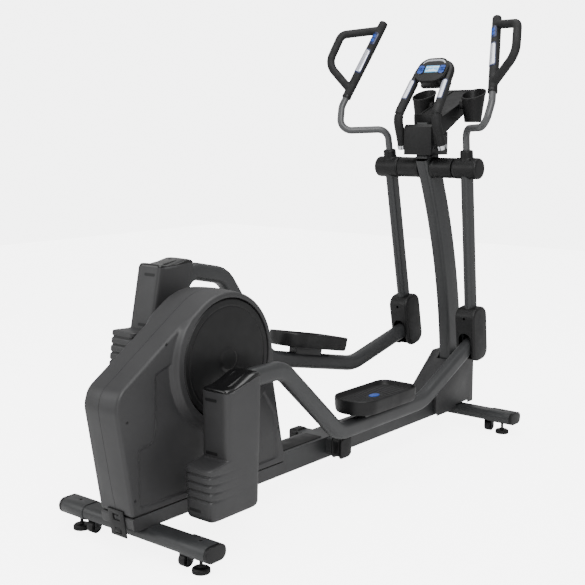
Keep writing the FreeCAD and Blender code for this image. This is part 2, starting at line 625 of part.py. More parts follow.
lean_x = (k["shell_rear_mid_x"] - k["shell_rear_low_x"]) / (k["shell_rear_mid_z"] - k["shell_rear_low_z"])
low_x = k["shell_rear_low_x"] - lean_x * (k["shell_rear_low_z"] - k["skirt_bottom"])
skirts = []
for sign in sides.values():
    height = k["skirt_top"] - k["skirt_bottom"]
    front = k["shell_front_low_x"]
    half = k["housing_half"]
    outer = Part.Face(Part.makePolygon([
        vec(low_x, 0, k["skirt_bottom"]), vec(k["shell_rear_low_x"], 0, k["skirt_top"]),
        vec(front, 0, k["skirt_top"]), vec(front, 0, k["skirt_bottom"]),
        vec(low_x, 0, k["skirt_bottom"])])).extrude(vec(0, sign * half, 0))
    wall = k["shell_wall"]
    room = Part.makeBox(front - low_x - 2 * wall, 2 * (half - wall), height,
                        vec(low_x + wall, wall - half, k["skirt_bottom"]))
    rail_room = Part.makeBox(20, k["rail_width"] + 1, height,
                             vec(front - 10, -k["rail_width"] / 2 - 0.5, k["skirt_bottom"]))
    inlet_room = Part.makeBox(40, k["inlet_width"] - 8, height,
                              vec(low_x - 20, 4 - k["inlet_width"] / 2, k["skirt_bottom"]))
    skirts.append(outer.cut([room, rail_room, inlet_room]))
computed("housing_base_skirts", Part.makeCompound(skirts))

# Power inlet: a panel on the housing's leaning rear face, with a socket above a rocker switch.
panel_lean = math.degrees(math.atan(-lean_x))
panel_z = k["skirt_bottom"] + 11
panel_x = k["shell_rear_low_x"] - lean_x * (k["shell_rear_low_z"] - panel_z)
panel_at = FreeCAD.Placement(vec(panel_x - 0.3, 0, panel_z), FreeCAD.Rotation(vec(0, 1, 0), -panel_lean))
wide = k["inlet_width"]
tall = k["inlet_height"]
panel = Part.makeBox(4, wide, tall, vec(-4, -wide / 2, -tall / 2))
panel = panel.fuse(Part.makeBox(20, wide - 16, 44, vec(0, 8 - wide / 2, -6)))
panel = panel.cut([Part.makeBox(21, 28, 20, vec(-5, -14, 8)), Part.makeBox(30, 24, 17, vec(-5, -12, -33))])
panel = panel.removeSplitter()
panel.Placement = panel_at
computed("power_inlet_panel", panel)
rocker = Part.makeCylinder(9, 22, vec(3, -11, -24.5), vec(0, 1, 0))
rocker = rocker.common(Part.makeBox(14, 22, 15, vec(-7, -11, -32)))
rocker.Placement = panel_at
computed("power_switch", rocker)

# Front cowls either side of the mast's foot.
rest_x = k["front_line"]
cowls = []
for sign in sides.values():
    spots = [(rest_x - 197, 92), (rest_x - 197, 156), (rest_x - 20, 300), (rest_x + 66, 300),
             (rest_x + 88, 276), (rest_x + 88, 84), (rest_x + 46, 84), (rest_x + 46, 94),
             (rest_x - 46, 94), (rest_x - 46, 76), (rest_x - 188, 76)]
    wire = Part.makePolygon([vec(x, 0, z) for x, z in spots + spots[:1]])
    shape = Part.Face(wire).extrude(vec(0, sign * 66, 0))
    inner_spots = inset([(rest_x - 194, 60), (rest_x - 194, 156), (rest_x - 20, 298), (rest_x + 66, 298),
                         (rest_x + 86, 276), (rest_x + 86, 60)], 2)
    wire = Part.makePolygon([vec(x, 0, z) for x, z in inner_spots + inner_spots[:1]])
    shape = shape.cut(Part.Face(wire).extrude(vec(0, sign * 63, 0)))
    shape = shape.cut([Part.makeBox(150, k["mast_width"] + 1, 80,
                                    vec(rest_x - 50, -k["mast_width"] / 2 - 0.5, 250)),
                       Part.makeBox(40, k["rail_width"] + 1, k["rail_top"] - 59.5,
                                    vec(rest_x - 210, -k["rail_width"] / 2 - 0.5, 60))])
    cowls.append(shape)
computed("front_cowls", Part.makeCompound(cowls))

# Mast: a boxed tube that curves back towards the user, with a foot flange and a post for the console.
mast = start_body("mast")
place(mast, ("mast_line", "0", "rail_top"))
section = flat_sketch(mast, "MastSection", "XY_Plane")
rounded(section, "mast_depth", "mast_width", "14")
spine = flat_sketch(mast, "MastSpine", "XZ_Plane")
bend = k["mast_bend"]
sweep = math.asin(k["mast_rise"] / bend)
spine.addGeometry(Part.ArcOfCircle(Part.Circle(vec(-bend, 0, 0), vec(0, 0, 1), bend), 0, sweep))
spine.addConstraint(Sketcher.Constraint("Coincident", 0, 1, -1, 1))
spine.addConstraint(Sketcher.Constraint("PointOnObject", 0, 3, -1))
which = spine.addConstraint(Sketcher.Constraint("Radius", 0, bend))
spine.setExpression("Constraints[%d]" % which, formula("mast_bend"))
which = spine.addConstraint(Sketcher.Constraint("DistanceY", 0, 2, k["mast_rise"]))
spine.setExpression("Constraints[%d]" % which, formula("mast_rise"))
doc.recompute()
pipe = mast.newObject("PartDesign::AdditivePipe", "MastTube")
pipe.Profile = section
pipe.Spine = spine
doc.recompute()
bore_section = flat_sketch(mast, "MastBore", "XY_Plane")
rounded(bore_section, "mast_depth - 2 * mast_wall", "mast_width - 2 * mast_wall", "14 - mast_wall")
doc.recompute()
bore = mast.newObject("PartDesign::SubtractivePipe", "MastHollow")
bore.Profile = bore_section
bore.Spine = spine
doc.recompute()
store("post_line", k["pivot_line"] - 35 - k["mast_line"], "console post from the mast's foot")
store("post_low", k["mast_rise"] - 12, "foot of the console post above the rail")
doc.recompute()
block(mast, "FootFlange", ("mast_depth + 30", "mast_width + 36", "8"),
      ("-1 * mast_depth / 2 - 15", "-1 * mast_width / 2 - 18", "0"))
block(mast, "HeadPlate", ("80", "mast_width - 1", "8"), ("post_line - 15", "0.5 - mast_width / 2", "post_low"))
block(mast, "ConsolePost", ("28", "44", "136"), ("post_line - 14", "-22", "post_low"))
rod(mast, "PivotBore", "pivot_radius", "mast_width + 2",
    ("pivot_line - mast_line", "0", "pivot_height - rail_top"), cut=True)

pivot = vec(k["pivot_line"], 0, k["pivot_height"])
rod_half = k["hub_outer"] + 1
computed("pivot_shaft", Part.makeCylinder(k["pivot_radius"], 2 * rod_half, pivot.sub(vec(0, rod_half, 0)),
                                          vec(0, 1, 0)))
sleeves = []
for sign in sides.values():
    inner = k["mast_width"] / 2 + 0.3
    outer = k["hub_inner"] - 1
    sleeve = ring(37, k["pivot_radius"], outer - inner, pivot.add(vec(0, sign * (inner + outer) / 2, 0)))
    collar = ring(40, k["pivot_radius"], 12, pivot.add(vec(0, sign * (inner + 6), 0)))
    sleeves.append(sleeve.fuse(collar).removeSplitter())
computed("pivot_sleeves", Part.makeCompound(sleeves))


# Moving arms. Swing pieces are drawn with the arm hanging straight down from the axle, and pedal
# arm pieces with the crank pin and the lower joint level; each side is then turned to its rest pose.
def swing_placement(side):
    return FreeCAD.Placement(pivot, FreeCAD.Rotation(vec(0, 1, 0), k[side + "_swing_turn"]))


def arm_placement(side):
    return FreeCAD.Placement(vec(k[side + "_pin_line"], 0, k[side + "_pin_height"]),
                             FreeCAD.Rotation(vec(0, 1, 0), k[side + "_arm_turn"]))


def move(item, at):
    """Carry a finished shape to its place, on top of any placement that it already has."""
    item.Placement = at.multiply(item.Placement)


def pose_body(body, at, turn):
    body.Placement = FreeCAD.Placement(vec(), FreeCAD.Rotation(vec(0, 1, 0), 1))
    place(body, at)
    bind(body, **{"Placement.Rotation.Angle": turn})


def pedal_arm(sign):
    spots = [(0, 0), (0, k["arm_crest"]), (184, k["arm_crest"]), (473, -k["arm_drop"]),
             (982, -k["arm_drop"]), (k["arm_reach"], 0)]
    points = [vec(x, sign * k["arm_plane"], z) for x, z in spots]
    path = bent_wire(points, (60, 95, 95, 200))
    flat = FreeCAD.Rotation()
    tube = swept(path, oval_wire(k["arm_depth"], k["arm_width"], 18, flat, points[0]))
    wall = k["arm_wall"]
    core = swept(path, oval_wire(k["arm_depth"] - 2 * wall, k["arm_width"] - 2 * wall, 18 - wall, flat,
                                 points[0]))
    rear_eye = ring(k["arm_depth"] / 2 + 3, 0, 52, points[0])
    front_eye = ring(24, 0, 40, points[-1])
    tube = tube.cut(core).fuse([rear_eye, front_eye])
    tube = tube.cut([ring(17, 0, 60, points[0]), ring(10 + k["running_fit"], 0, 50, points[-1])])
    beyond = Part.makeBox(60, 60, 200, vec(k["arm_reach"], sign * k["arm_plane"] - 30, -100))
    keep = ring(24, 10 + k["running_fit"], 40, points[-1])
    tube = tube.cut(beyond).fuse(keep)
    below = Part.makeBox(120, 60, 60, vec(-60, sign * k["arm_plane"] - 30, -60))
    keep = ring(k["arm_depth"] / 2 + 3, 17, 52, points[0])
    return tube.cut(below).fuse(keep).removeSplitter()


grip_low = vec(-76, 322, 252)
grip_top = vec(136, 234, 537)


def grip_frame(sign):
    """Point at a share of the grip's length, its direction and its normal towards the user."""
    low = vec(grip_low.x, sign * grip_low.y, grip_low.z)
    top = vec(grip_top.x, sign * grip_top.y, grip_top.z)
    along = top.sub(low)
    direction = vec(along).normalize()
    normal = vec(-1, 0, 0).sub(direction * vec(-1, 0, 0).dot(direction)).normalize()
    return low, along, direction, normal


def local_box(length, width, height, at, direction, normal):
    """A box about a point: length along a direction, height along a normal."""
    across = direction.cross(normal)
    shape = Part.makeBox(length, width, height, vec(-length / 2, -width / 2, -height / 2))
    matrix = FreeCAD.Matrix(direction.x, across.x * -1, normal.x, at.x,
                            direction.y, across.y * -1, normal.y, at.y,
                            direction.z, across.z * -1, normal.z, at.z, 0, 0, 0, 1)
    return shape.transformed(matrix)


for side, sign in sides.items():
    joint = ("%s_pin_line" % side, "0", "%s_pin_height" % side)
    middle = "%d * arm_plane" % sign

    arm = computed("%s_pedal_arm" % side, pedal_arm(sign))
    move(arm, arm_placement(side))

    cover = start_body("%s_link_cover" % side)
    pose_body(cover, joint, "%s_arm_turn" % side)
    cover_middle = "%d * (cover_inner + cover_outer) / 2" % sign
    slab(cover, "Outer", [("-130", "108"), ("-132", "-100"), ("-203", "-112"), ("-199", "-250"),
                          ("-186", "-262"), ("-6", "-262"), ("6", "-248"), ("20", "108")],
         cover_middle, "cover_outer - cover_inner")
    slab(cover, "Inner", [("-127", "110"), ("-129", "-103"), ("-200", "-115"), ("-196", "-249"),
                          ("-185", "-259"), ("-7", "-259"), ("3", "-247"), ("17", "110")],
         cover_middle, "cover_outer - cover_inner - 6", cut=True)
    rod(cover, "PinOpening", "30", "20", ("0", "%d * cover_inner" % sign, "0"), cut=True)
    block(cover, "ArmOpening", ("40", "arm_width + 8", "160"),
          ("0", "%s - arm_width / 2 - 4" % middle, "-38"), cut=True)

    cap = start_body("%s_link_cover_cap" % side)
    pose_body(cap, joint, "%s_arm_turn" % side)
    slab(cap, "Top", [("-130", "108.2"), ("-130", "110"), ("-110", "118"), ("-50", "124"), ("0", "121"),
                      ("20", "114"), ("20", "108.2")], cover_middle, "cover_outer - cover_inner")
    block(cap, "ArmOpening", ("90", "arm_width + 3", "60"),
          ("-40", "%s - arm_width / 2 - 1.5" % middle, "60"), cut=True)

    plate = start_body("%s_footplate" % side)
    pose_body(plate, joint, "%s_arm_turn" % side)
    floor_level = "arm_depth / 2 - arm_drop + 20"
    for name, shrink, low, high, cut in (("Tub", "0", "0", "pedal_rim", False),
                                         ("Well", "4", "pedal_floor", "pedal_rim + 2", True),
                                         ("Under", "4", "-2", "pedal_floor - 4", True)):
        outline = flat_sketch(plate, name, "XY_Plane", "%s + (%s + %s) / 2" % (floor_level, low, high))
        rounded(outline, "pedal_length - 2 * %s" % shrink, "pedal_width - 2 * %s" % shrink,
                "58 - %s" % shrink)
        outline.setExpression("AttachmentOffset.Base.x", formula("pedal_station"))
        outline.setExpression("AttachmentOffset.Base.y", formula(middle))
        thicken(plate, outline, "%s - %s" % (high, low), cut)
    block(plate, "Bracket", ("150", "arm_width - 10", "pedal_floor + 18"),
          ("pedal_station - 75", "%s - arm_width / 2 + 5" % middle, "arm_depth / 2 - arm_drop"))

    tread = start_body("%s_footplate_tread" % side)
    pose_body(tread, joint, "%s_arm_turn" % side)
    outline = flat_sketch(tread, "Mat", "XY_Plane", "%s + pedal_floor + 3" % floor_level)
    rounded(outline, "pedal_length - 12", "pedal_width - 12", "51")
    outline.setExpression("AttachmentOffset.Base.x", formula("pedal_station"))
    outline.setExpression("AttachmentOffset.Base.y", formula(middle))
    thicken(tread, outline, "6")
    for rib in range(7):
        block(tread, "Rib%d" % rib, ("pedal_length - 130", "5", "3"),
              ("pedal_station - pedal_length / 2 + 65", "%s + %d * 16 - 2.5" % (middle, rib - 3),
               "%s + pedal_floor + 5" % floor_level))

    hub = ("pivot_line", "0", "pivot_height")
    swing = start_body("%s_swing_arm" % side)
    pose_body(swing, hub, "%s_swing_turn" % side)
    hub_middle = "%d * (hub_inner + hub_outer) / 2" % sign
    rod(swing, "Hub", "hub_radius", "hub_outer - hub_inner", ("0", hub_middle, "0"))
    oval = flat_sketch(swing, "Oval", "XY_Plane", "-1 * (rocker_length - 25) / 2")
    rounded(oval, "swing_depth", "swing_width", "swing_width / 2 - 0.5")
    oval.setExpression("AttachmentOffset.Base.y", formula(middle))
    thicken(swing, oval, "rocker_length - 65")
    block(swing, "ForkHead", ("44", "arm_width + 14", "10"),
          ("-22", "%s - arm_width / 2 - 7" % middle, "40 - rocker_length"))
    for edge in (-1, 1):
        block(swing, "Fork%s" % ("Inner" if edge < 0 else "Outer"), ("44", "6", "64"),
              ("-22", "%s + %d * (arm_width / 2 + 4) - 3" % (middle, edge), "-1 * rocker_length - 18"))
    rod(swing, "LowerPin", "10", "arm_width + 14", ("0", middle, "-1 * rocker_length"))
    rod(swing, "Socket", "handle_radius + 4.5", "50", ("0", middle, "39"), along="Z")
    rod(swing, "HubBore", "pivot_radius + running_fit", "hub_outer - hub_inner + 2",
        ("0", hub_middle, "0"), cut=True)
    rod(swing, "SocketBore", "handle_radius", "34", ("0", middle, "51"), along="Z", cut=True)

    shroud = start_body("%s_hub_cover" % side)
    pose_body(shroud, hub, "%s_swing_turn" % side)
    rod(shroud, "Barrel", "hub_cover_radius", "hub_outer + 8 - hub_inner",
        ("0", "%d * (hub_inner + hub_outer + 8) / 2" % sign, "0"))
    rod(shroud, "Collar", "handle_radius + 11", "68", ("0", middle, "34"), along="Z")
    rod(shroud, "HubRoom", "hub_radius", "hub_outer + 2 - hub_inner",
        ("0", "%d * (hub_inner + hub_outer + 2) / 2" % sign, "0"), cut=True)
    rod(shroud, "SocketRoom", "handle_radius + 4.5", "90", ("0", middle, "45"), along="Z", cut=True)
    block(shroud, "ArmRoom", ("swing_depth + 1", "swing_width + 1", "50"),
          ("-1 * swing_depth / 2 - 0.5", "%s - swing_width / 2 - 0.5" % middle, "-50"), cut=True)

    boot = start_body("%s_lower_joint_cover" % side)
    pose_body(boot, hub, "%s_swing_turn" % side)
    slab(boot, "Outer", [("-36", "142 - rocker_length"), ("-53", "122 - rocker_length"),
                         ("-53", "-48 - rocker_length"), ("-36", "-68 - rocker_length"),
                         ("36", "-68 - rocker_length"), ("53", "-48 - rocker_length"),
                         ("53", "122 - rocker_length"), ("36", "142 - rocker_length")], middle, "boot_width")
    slab(boot, "Inner", [("-34.5", "139 - rocker_length"), ("-50", "121 - rocker_length"),
                         ("-50", "-47 - rocker_length"), ("-34.5", "-65 - rocker_length"),
                         ("34.5", "-65 - rocker_length"), ("50", "-47 - rocker_length"),
                         ("50", "121 - rocker_length"), ("34.5", "139 - rocker_length")], middle,
         "boot_width - 6", cut=True)
    block(boot, "ArmOpening", ("66", "arm_width + 6", "130"),
          ("-70", "%s - arm_width / 2 - 3" % middle, "-90 - rocker_length"), cut=True)
    block(boot, "TubeOpening", ("swing_depth + 1", "swing_width + 1", "10"),
          ("-1 * swing_depth / 2 - 0.5", "%s - swing_width / 2 - 0.5" % middle, "135 - rocker_length"),
          cut=True)

    low, along, direction, normal = grip_frame(sign)
    start = vec(0, sign * k["arm_plane"], 36)
    corner = vec(0, sign * k["arm_plane"], 148)
    elbow = vec(-118, sign * 314, 165)
    bar = round_tube([start, corner, elbow, low, low.add(along)], (42, 42, 70), k["handle_radius"])
    bar_item = computed("%s_handlebar" % side, bar)
    move(bar_item, swing_placement(side))

    grip = Part.makeCylinder(k["grip_radius"], along.Length * 0.88 + 8, low.add(along * 0.12), direction)
    loop = round_tube([low.add(along * 0.92), vec(36, sign * 369, 514), vec(-35, sign * 396, 412),
                       low.add(along * 0.2)], (32, 62), k["loop_radius"])
    grip = grip.fuse(loop).cut(Part.makeCylinder(k["handle_radius"], along.Length, low, direction))
    slot_at = low.add(along * 0.8).add(normal * (k["grip_radius"] - 1))
    grip = grip.cut(local_box(36, 17, 9, slot_at, direction, normal)).removeSplitter()
    grip_item = computed("%s_handle_grip" % side, grip)
    move(grip_item, swing_placement(side))

    plate_shape = Part.makeCylinder(k["grip_radius"] + 1, 84, low.add(along * 0.36), direction)
    plate_shape = plate_shape.cut(Part.makeCylinder(k["grip_radius"], 84, low.add(along * 0.36), direction))
    face_at = low.add(along * 0.36).add(direction * 42).add(normal * (k["grip_radius"] + 1))
    plate_shape = plate_shape.common(local_box(90, 27, 18, face_at, direction, normal))
    sensor = computed("%s_grip_sensor" % side, plate_shape)
    move(sensor, swing_placement(side))

    key_at = low.add(along * 0.8).add(normal * (k["grip_radius"] + 0.3))
    key = computed("%s_handle_key" % side, local_box(34, 15, 6, key_at, direction, normal))
    move(key, swing_placement(side))

# Fixed handlebar, console and what it carries. Stations are forward from the rear feet.
def station(x, y, z):
    return vec(k["rear_line"] + x, y, z)


head_x = k["pivot_station"] - 1521
head_z = k["pivot_height"] - 1049


def head(x, y, z):
    """A point of the console group, which moves with the swing arm axle."""
    return station(x + head_x, y, z + head_z)


legs = [head(1477, 87, 1122), head(1428, 83, 1240), head(1578, 68, 1440)]
legs = legs + [vec(spot.x, -spot.y, spot.z) for spot in reversed(legs)]
bar = round_tube(legs, (60, 48, 48, 60), k["bar_radius"])
computed("fixed_handlebar", bar)
sensors = []
clamps = []
for sign in sides.values():
    knee = head(1428, sign * 83, 1240)
    shoulder = head(1578, sign * 68, 1440)
    run = shoulder.sub(knee)
    direction = vec(run).normalize()
    normal = vec(-1, 0, 0).sub(direction * vec(-1, 0, 0).dot(direction)).normalize()
    begin = knee.add(run * 0.3)
    cuff = Part.makeCylinder(k["bar_radius"] + 1, 84, begin, direction)
    cuff = cuff.cut(Part.makeCylinder(k["bar_radius"], 84, begin, direction))
    face_at = begin.add(direction * 42).add(normal * (k["bar_radius"] + 1))
    sensors.append(cuff.common(local_box(90, 25, 16, face_at, direction, normal)))
    foot = head(1477, sign * 87, 1122)
    up = head(1428, sign * 83, 1240).sub(foot).normalize()
    clamp = Part.makeCylinder(k["bar_radius"] + 4, 16, foot, up)
    lug = Part.makeBox(16, 87 - k["mast_width"] / 2 + 4, 14,
                       vec(foot.x - 8, k["mast_width"] / 2 - 4 if sign > 0 else -87, foot.z))
    clamp = clamp.fuse(lug).cut(Part.makeCylinder(k["bar_radius"], 60, foot.sub(up * 20), up))
    clamps.append(clamp.removeSplitter())
computed("fixed_grip_sensors", Part.makeCompound(sensors))
computed("handlebar_clamps", Part.makeCompound(clamps))


def side_plate(spots, half, offset=0):
    """An outline in X and Z given its width along Y about a middle."""
    points = [vec(spot.x, offset - half, spot.z) for spot in spots]
    return Part.Face(Part.makePolygon(points + points[:1])).extrude(vec(0, 2 * half, 0))


neck = [(1442, 1098), (1442, 1203), (1452, 1212), (1505, 1212), (1505, 1159), (1512, 1159),
        (1562, 1185), (1562, 1098)]
neck_shape = side_plate([head(x, 0, z) for x, z in neck], 60)
hollow = [(1445, 1090), (1445, 1202), (1453, 1209), (1502, 1209), (1502, 1156), (1512, 1156),
          (1559, 1180), (1559, 1090)]
neck_shape = neck_shape.cut(side_plate([head(x, 0, z) for x, z in hollow], 57))
neck_shape = neck_shape.cut([mast.Shape, Part.makeBox(30, 46, 40, head(1471, -23, 1190))])
for sign in sides.values():
    foot = head(1477, sign * 60, 1122)
    neck_shape = neck_shape.cut(Part.makeBox(18, 20, 18, vec(foot.x - 9, foot.y - 10, foot.z - 2)))
computed("console_neck_cover", neck_shape)

rack = [(1516, 1166), (1508, 1236), (1508, 1250), (1515, 1251), (1520, 1241), (1790, 1350), (1790, 1306),
        (1660, 1241)]
rack_shape = side_plate([head(x, 0, z) for x, z in rack], 60)
wing = [(1750, 1334), (1790, 1350), (1790, 1306), (1760, 1291)]
rack_shape = rack_shape.fuse(side_plate([head(x, 0, z) for x, z in wing], 84))
tray = [(1524, 1239), (1782, 1343), (1782, 1360), (1524, 1270)]
rack_shape = rack_shape.cut(side_plate([head(x, 0, z) for x, z in tray], 52))
room = [(1520, 1173), (1513, 1232), (1784, 1338), (1784, 1309), (1660, 1246)]
room = [(x + 3, z - 2) if z > 1300 else (x + 3, z) for x, z in room]
rack_shape = rack_shape.cut(side_plate([head(x - 4, 0, z - 2) for x, z in room], 56))
computed("reading_rack", rack_shape.removeSplitter())

cups = []
for sign in sides.values():
    floor_at = head(1658, sign * 111, 1220)
    small = k["cup_radius"] - 14
    tall = k["cup_height"] + 30
    large = small + 14 * tall / k["cup_height"]
    outer = Part.makeCone(small, large, tall, floor_at)
    lid = Part.makeBox(300, 300, 100, vec(-150, -150, 0))
    lid.Placement = FreeCAD.Placement(floor_at.add(vec(0, 0, k["cup_height"])),
                                      FreeCAD.Rotation(vec(0, 1, 0), -k["cup_slant"]))
    lug = Part.makeBox(36, 20, 30, vec(floor_at.x - 18, 60.3 if sign > 0 else -80.3, floor_at.z + 50))
    inner = Part.makeCone(small - 3, large - 3, tall, floor_at.add(vec(0, 0, 3)))
    cups.append(outer.cut(lid).fuse(lug).cut(inner).removeSplitter())
computed("cup_holders", Part.makeCompound(cups))

# Console pod: its own frame has X through the thickness, away from the user, and Z up the slope.
slope = math.degrees(math.atan2(150, 200))
pod_at = FreeCAD.Placement(head(1548, 0, 1400), FreeCAD.Rotation(vec(0, 1, 0), slope))


def pod_slab(width, height, radius, near, far, y=0, z=0):
    """A rounded slab of the console between two depths."""
    turn = FreeCAD.Rotation(vec(0, 1, 0), 90)
    wire = oval_wire(height, width, radius, turn, vec(near, y, z))
    return Part.Face(wire).extrude(vec(far - near, 0, 0))


def pod_part(label, shape):
    item = computed(label, shape)
    move(item, pod_at)
    return item


pod = pod_slab(100, 78, 20, -16, 20, 0, -7).cut(pod_slab(94, 72, 17, -19, 17, 0, -7))
saddle = ring(k["bar_radius"] + 5, k["bar_radius"], 34, vec(0, 0, 50))
saddle = saddle.cut(Part.makeBox(20, 60, 60, vec(-36, -30, 20)))
pod_part("console_pod", pod.fuse(saddle).removeSplitter())
face = pod_slab(128, 104, 44, -23, -16.2, 0, 6)
openings = [pod_slab(19, 31, 5, -30, -10, sign * 46, 4) for sign in sides.values()]
window = pod_slab(66, 34, 3, -24, -20, 0, 8)
pod_part("console_faceplate", face.cut(openings + [window]))
pod_part("console_display", pod_slab(65, 33, 2.5, -22.6, -20, 0, 8))
pod_part("control_board", Part.makeBox(1.6, 84, 60, vec(-6, -42, -37)))
for side, sign in sides.items():
    pod_part("console_%s_keys" % side, pod_slab(17, 29, 4, -25.5, -17.4, sign * 46, 4))

# Screw heads on the sides of the housing shells.
screws = []
for x, z in ((-92, 408), (-70, 180), (60, 600), (500, 440), (545, 250)):
    for sign in sides.values():
        at = station(x, sign * k["housing_half"], z)
        screws.append(Part.makeCone(4.5, 3.5, 1.4, at, vec(0, sign, 0)))
computed("casing_screws", Part.makeCompound(screws))

doc.recompute()
for item in doc.Objects:
    if "Invalid" in item.State or "Error" in item.State:
        raise RuntimeError("failed feature: " + item.Label)
os.makedirs("parts", exist_ok=True)
for item in parts:
    if item.Shape.isNull() or not item.Shape.isValid():
        raise RuntimeError("bad shape: " + item.Label)
for item in parts:
    item.Shape.exportStep(os.path.join("parts", item.Label + ".step"))
print(len(parts), "parts written")
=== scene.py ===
import json
import math

import bmesh
import bpy
import numpy as np
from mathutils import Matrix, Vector

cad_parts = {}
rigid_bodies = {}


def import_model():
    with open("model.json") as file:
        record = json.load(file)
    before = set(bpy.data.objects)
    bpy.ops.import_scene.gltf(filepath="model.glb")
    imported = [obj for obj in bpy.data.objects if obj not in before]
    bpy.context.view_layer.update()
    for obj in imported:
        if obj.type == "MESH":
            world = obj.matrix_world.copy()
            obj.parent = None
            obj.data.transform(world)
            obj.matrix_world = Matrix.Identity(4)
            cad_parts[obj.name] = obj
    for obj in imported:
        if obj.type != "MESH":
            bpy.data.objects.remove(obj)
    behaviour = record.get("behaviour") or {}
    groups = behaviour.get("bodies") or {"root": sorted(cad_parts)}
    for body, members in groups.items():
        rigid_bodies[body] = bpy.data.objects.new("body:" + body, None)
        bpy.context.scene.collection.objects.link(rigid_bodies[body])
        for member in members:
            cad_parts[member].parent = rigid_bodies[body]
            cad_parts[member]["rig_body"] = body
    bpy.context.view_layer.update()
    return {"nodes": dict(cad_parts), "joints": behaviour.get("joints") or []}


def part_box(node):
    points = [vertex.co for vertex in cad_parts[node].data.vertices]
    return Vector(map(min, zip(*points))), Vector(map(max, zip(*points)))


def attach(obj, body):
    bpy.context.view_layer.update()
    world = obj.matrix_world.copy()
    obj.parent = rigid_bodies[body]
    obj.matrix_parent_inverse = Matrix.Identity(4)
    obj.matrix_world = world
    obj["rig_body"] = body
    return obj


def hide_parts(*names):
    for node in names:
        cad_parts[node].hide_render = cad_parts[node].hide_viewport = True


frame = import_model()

print("frame loaded with", len(frame["nodes"]), "nodes")

mm = 0.001
sides = {"right": -1, "left": 1}
jointPlace = {joint["name"]: np.array(joint["pos_m"]) for joint in frame["joints"] if "pos_m" in joint}
crankPlace = jointPlace["crank_spin"]
swingPlace = jointPlace["right_arm_swing"]

# Places: X forward, Y to the user's left, Z up. A place is an origin and a turn about Y in radians.
rest = {"crankThrow": 150, "crankLean": 17.7}  # mm, and degrees from the vertical at rest


def swingFrame(side):
    # origin on the cross axle, Z along the arm
    low = jointPlace[side + "_pedal_tilt"] - swingPlace
    return swingPlace, -math.atan2(low[0], -low[2])


def armFrame(side):
    # origin on the crank pin, X towards the lower joint
    lean = math.radians(rest["crankLean"]) * (1 if side == "left" else -1)
    throw = rest["crankThrow"] * mm * (1 if side == "left" else -1)
    pin = crankPlace + throw * np.array([math.sin(abs(lean)), 0, math.cos(lean)])
    reach = jointPlace[side + "_pedal_tilt"] - pin
    return pin, -math.atan2(reach[2], reach[0])


def toRow(points, place):
    # a turn about Y, then a shift
    origin, turn = place
    x, y, z = np.moveaxis(np.asarray(points, float), -1, 0)
    turned = [x * math.cos(turn) + z * math.sin(turn), y, z * math.cos(turn) - x * math.sin(turn)]
    return np.stack(turned, -1) + origin


def unit(vectors):
    return vectors / np.maximum(np.linalg.norm(vectors, axis=-1, keepdims=True), 1e-12)


# Outlines and surfaces. A surface is a pair: an array of points and a list of faces.
def roundedPath(corners, radii, closed=True, steps=6):
    # each corner becomes an arc about a centre on its bisector, from one tangent point to the other
    corners = np.asarray(corners, float)
    radii = np.broadcast_to(np.asarray(radii, float), len(corners))
    before = np.roll(corners, 1, 0) - corners
    after = np.roll(corners, -1, 0) - corners
    room = np.minimum(np.linalg.norm(before, axis=1), np.linalg.norm(after, axis=1))
    before, after = unit(before), unit(after)
    half = np.arccos(np.clip((before * after).sum(1), -0.99999, 0.99999)) / 2
    trim = np.minimum(radii / np.tan(half), 0.95 * room)
    bisector = unit(before + after + 1e-12)
    centre = corners + bisector * (trim / np.cos(half))[:, None]
    start = corners + before * trim[:, None] - centre
    end = corners + after * trim[:, None] - centre
    sweep = (math.pi - 2 * half)[:, None]
    share = np.linspace(0, 1, steps + 1)
    first = (np.sin((1 - share) * sweep) / np.sin(sweep))[..., None] * start[:, None]
    second = (np.sin(share * sweep) / np.sin(sweep))[..., None] * end[:, None]
    arcs = first + second + centre[:, None]
    if closed:
        return arcs.reshape(-1, corners.shape[1])
    return np.concatenate([corners[:1], arcs[1:-1].reshape(-1, corners.shape[1]), corners[-1:]])


def insetLoop(loop, distance):
    # every point moves inwards along the loop's own normal
    ahead = np.roll(loop, -1, 0) - np.roll(loop, 1, 0)
    inward = unit(np.stack([-ahead[:, 1], ahead[:, 0]], 1))
    area = (loop[:, 0] * np.roll(loop[:, 1], -1) - loop[:, 1] * np.roll(loop[:, 0], -1)).sum()
    return loop + inward * distance * np.sign(area)


def alongPath(path, stations):
    # points at the given distances along a line of points
    length = np.concatenate([[0], np.cumsum(np.linalg.norm(np.diff(path, axis=0), axis=1))])
    return np.stack([np.interp(stations, length, path[:, axis]) for axis in range(path.shape[1])], 1)


def pathLength(path):
    return np.linalg.norm(np.diff(path, axis=0), axis=1).sum()


def evenLoop(loop, count):
    # the closed outline again, as evenly spaced points
    ring = np.concatenate([loop, loop[:1]])
    return alongPath(ring, np.linspace(0, pathLength(ring), count, endpoint=False))


def boxLoop(half, corner, steps=6):
    # a rectangle about the origin, from its half sizes, with round corners
    return roundedPath(np.array([(1, 1), (-1, 1), (-1, -1), (1, -1)]) * half, corner, steps=steps)


def rectLoop(left, low, right, high, corner, steps=6):
    # a rectangle with round corners from its limits in millimetres
    corners = np.array([(left, low), (right, low), (right, high), (left, high)]) * mm
    return roundedPath(corners, corner * mm, steps=steps)


def fullTurn(steps):
    return np.linspace(0, 2 * math.pi, steps, endpoint=False)


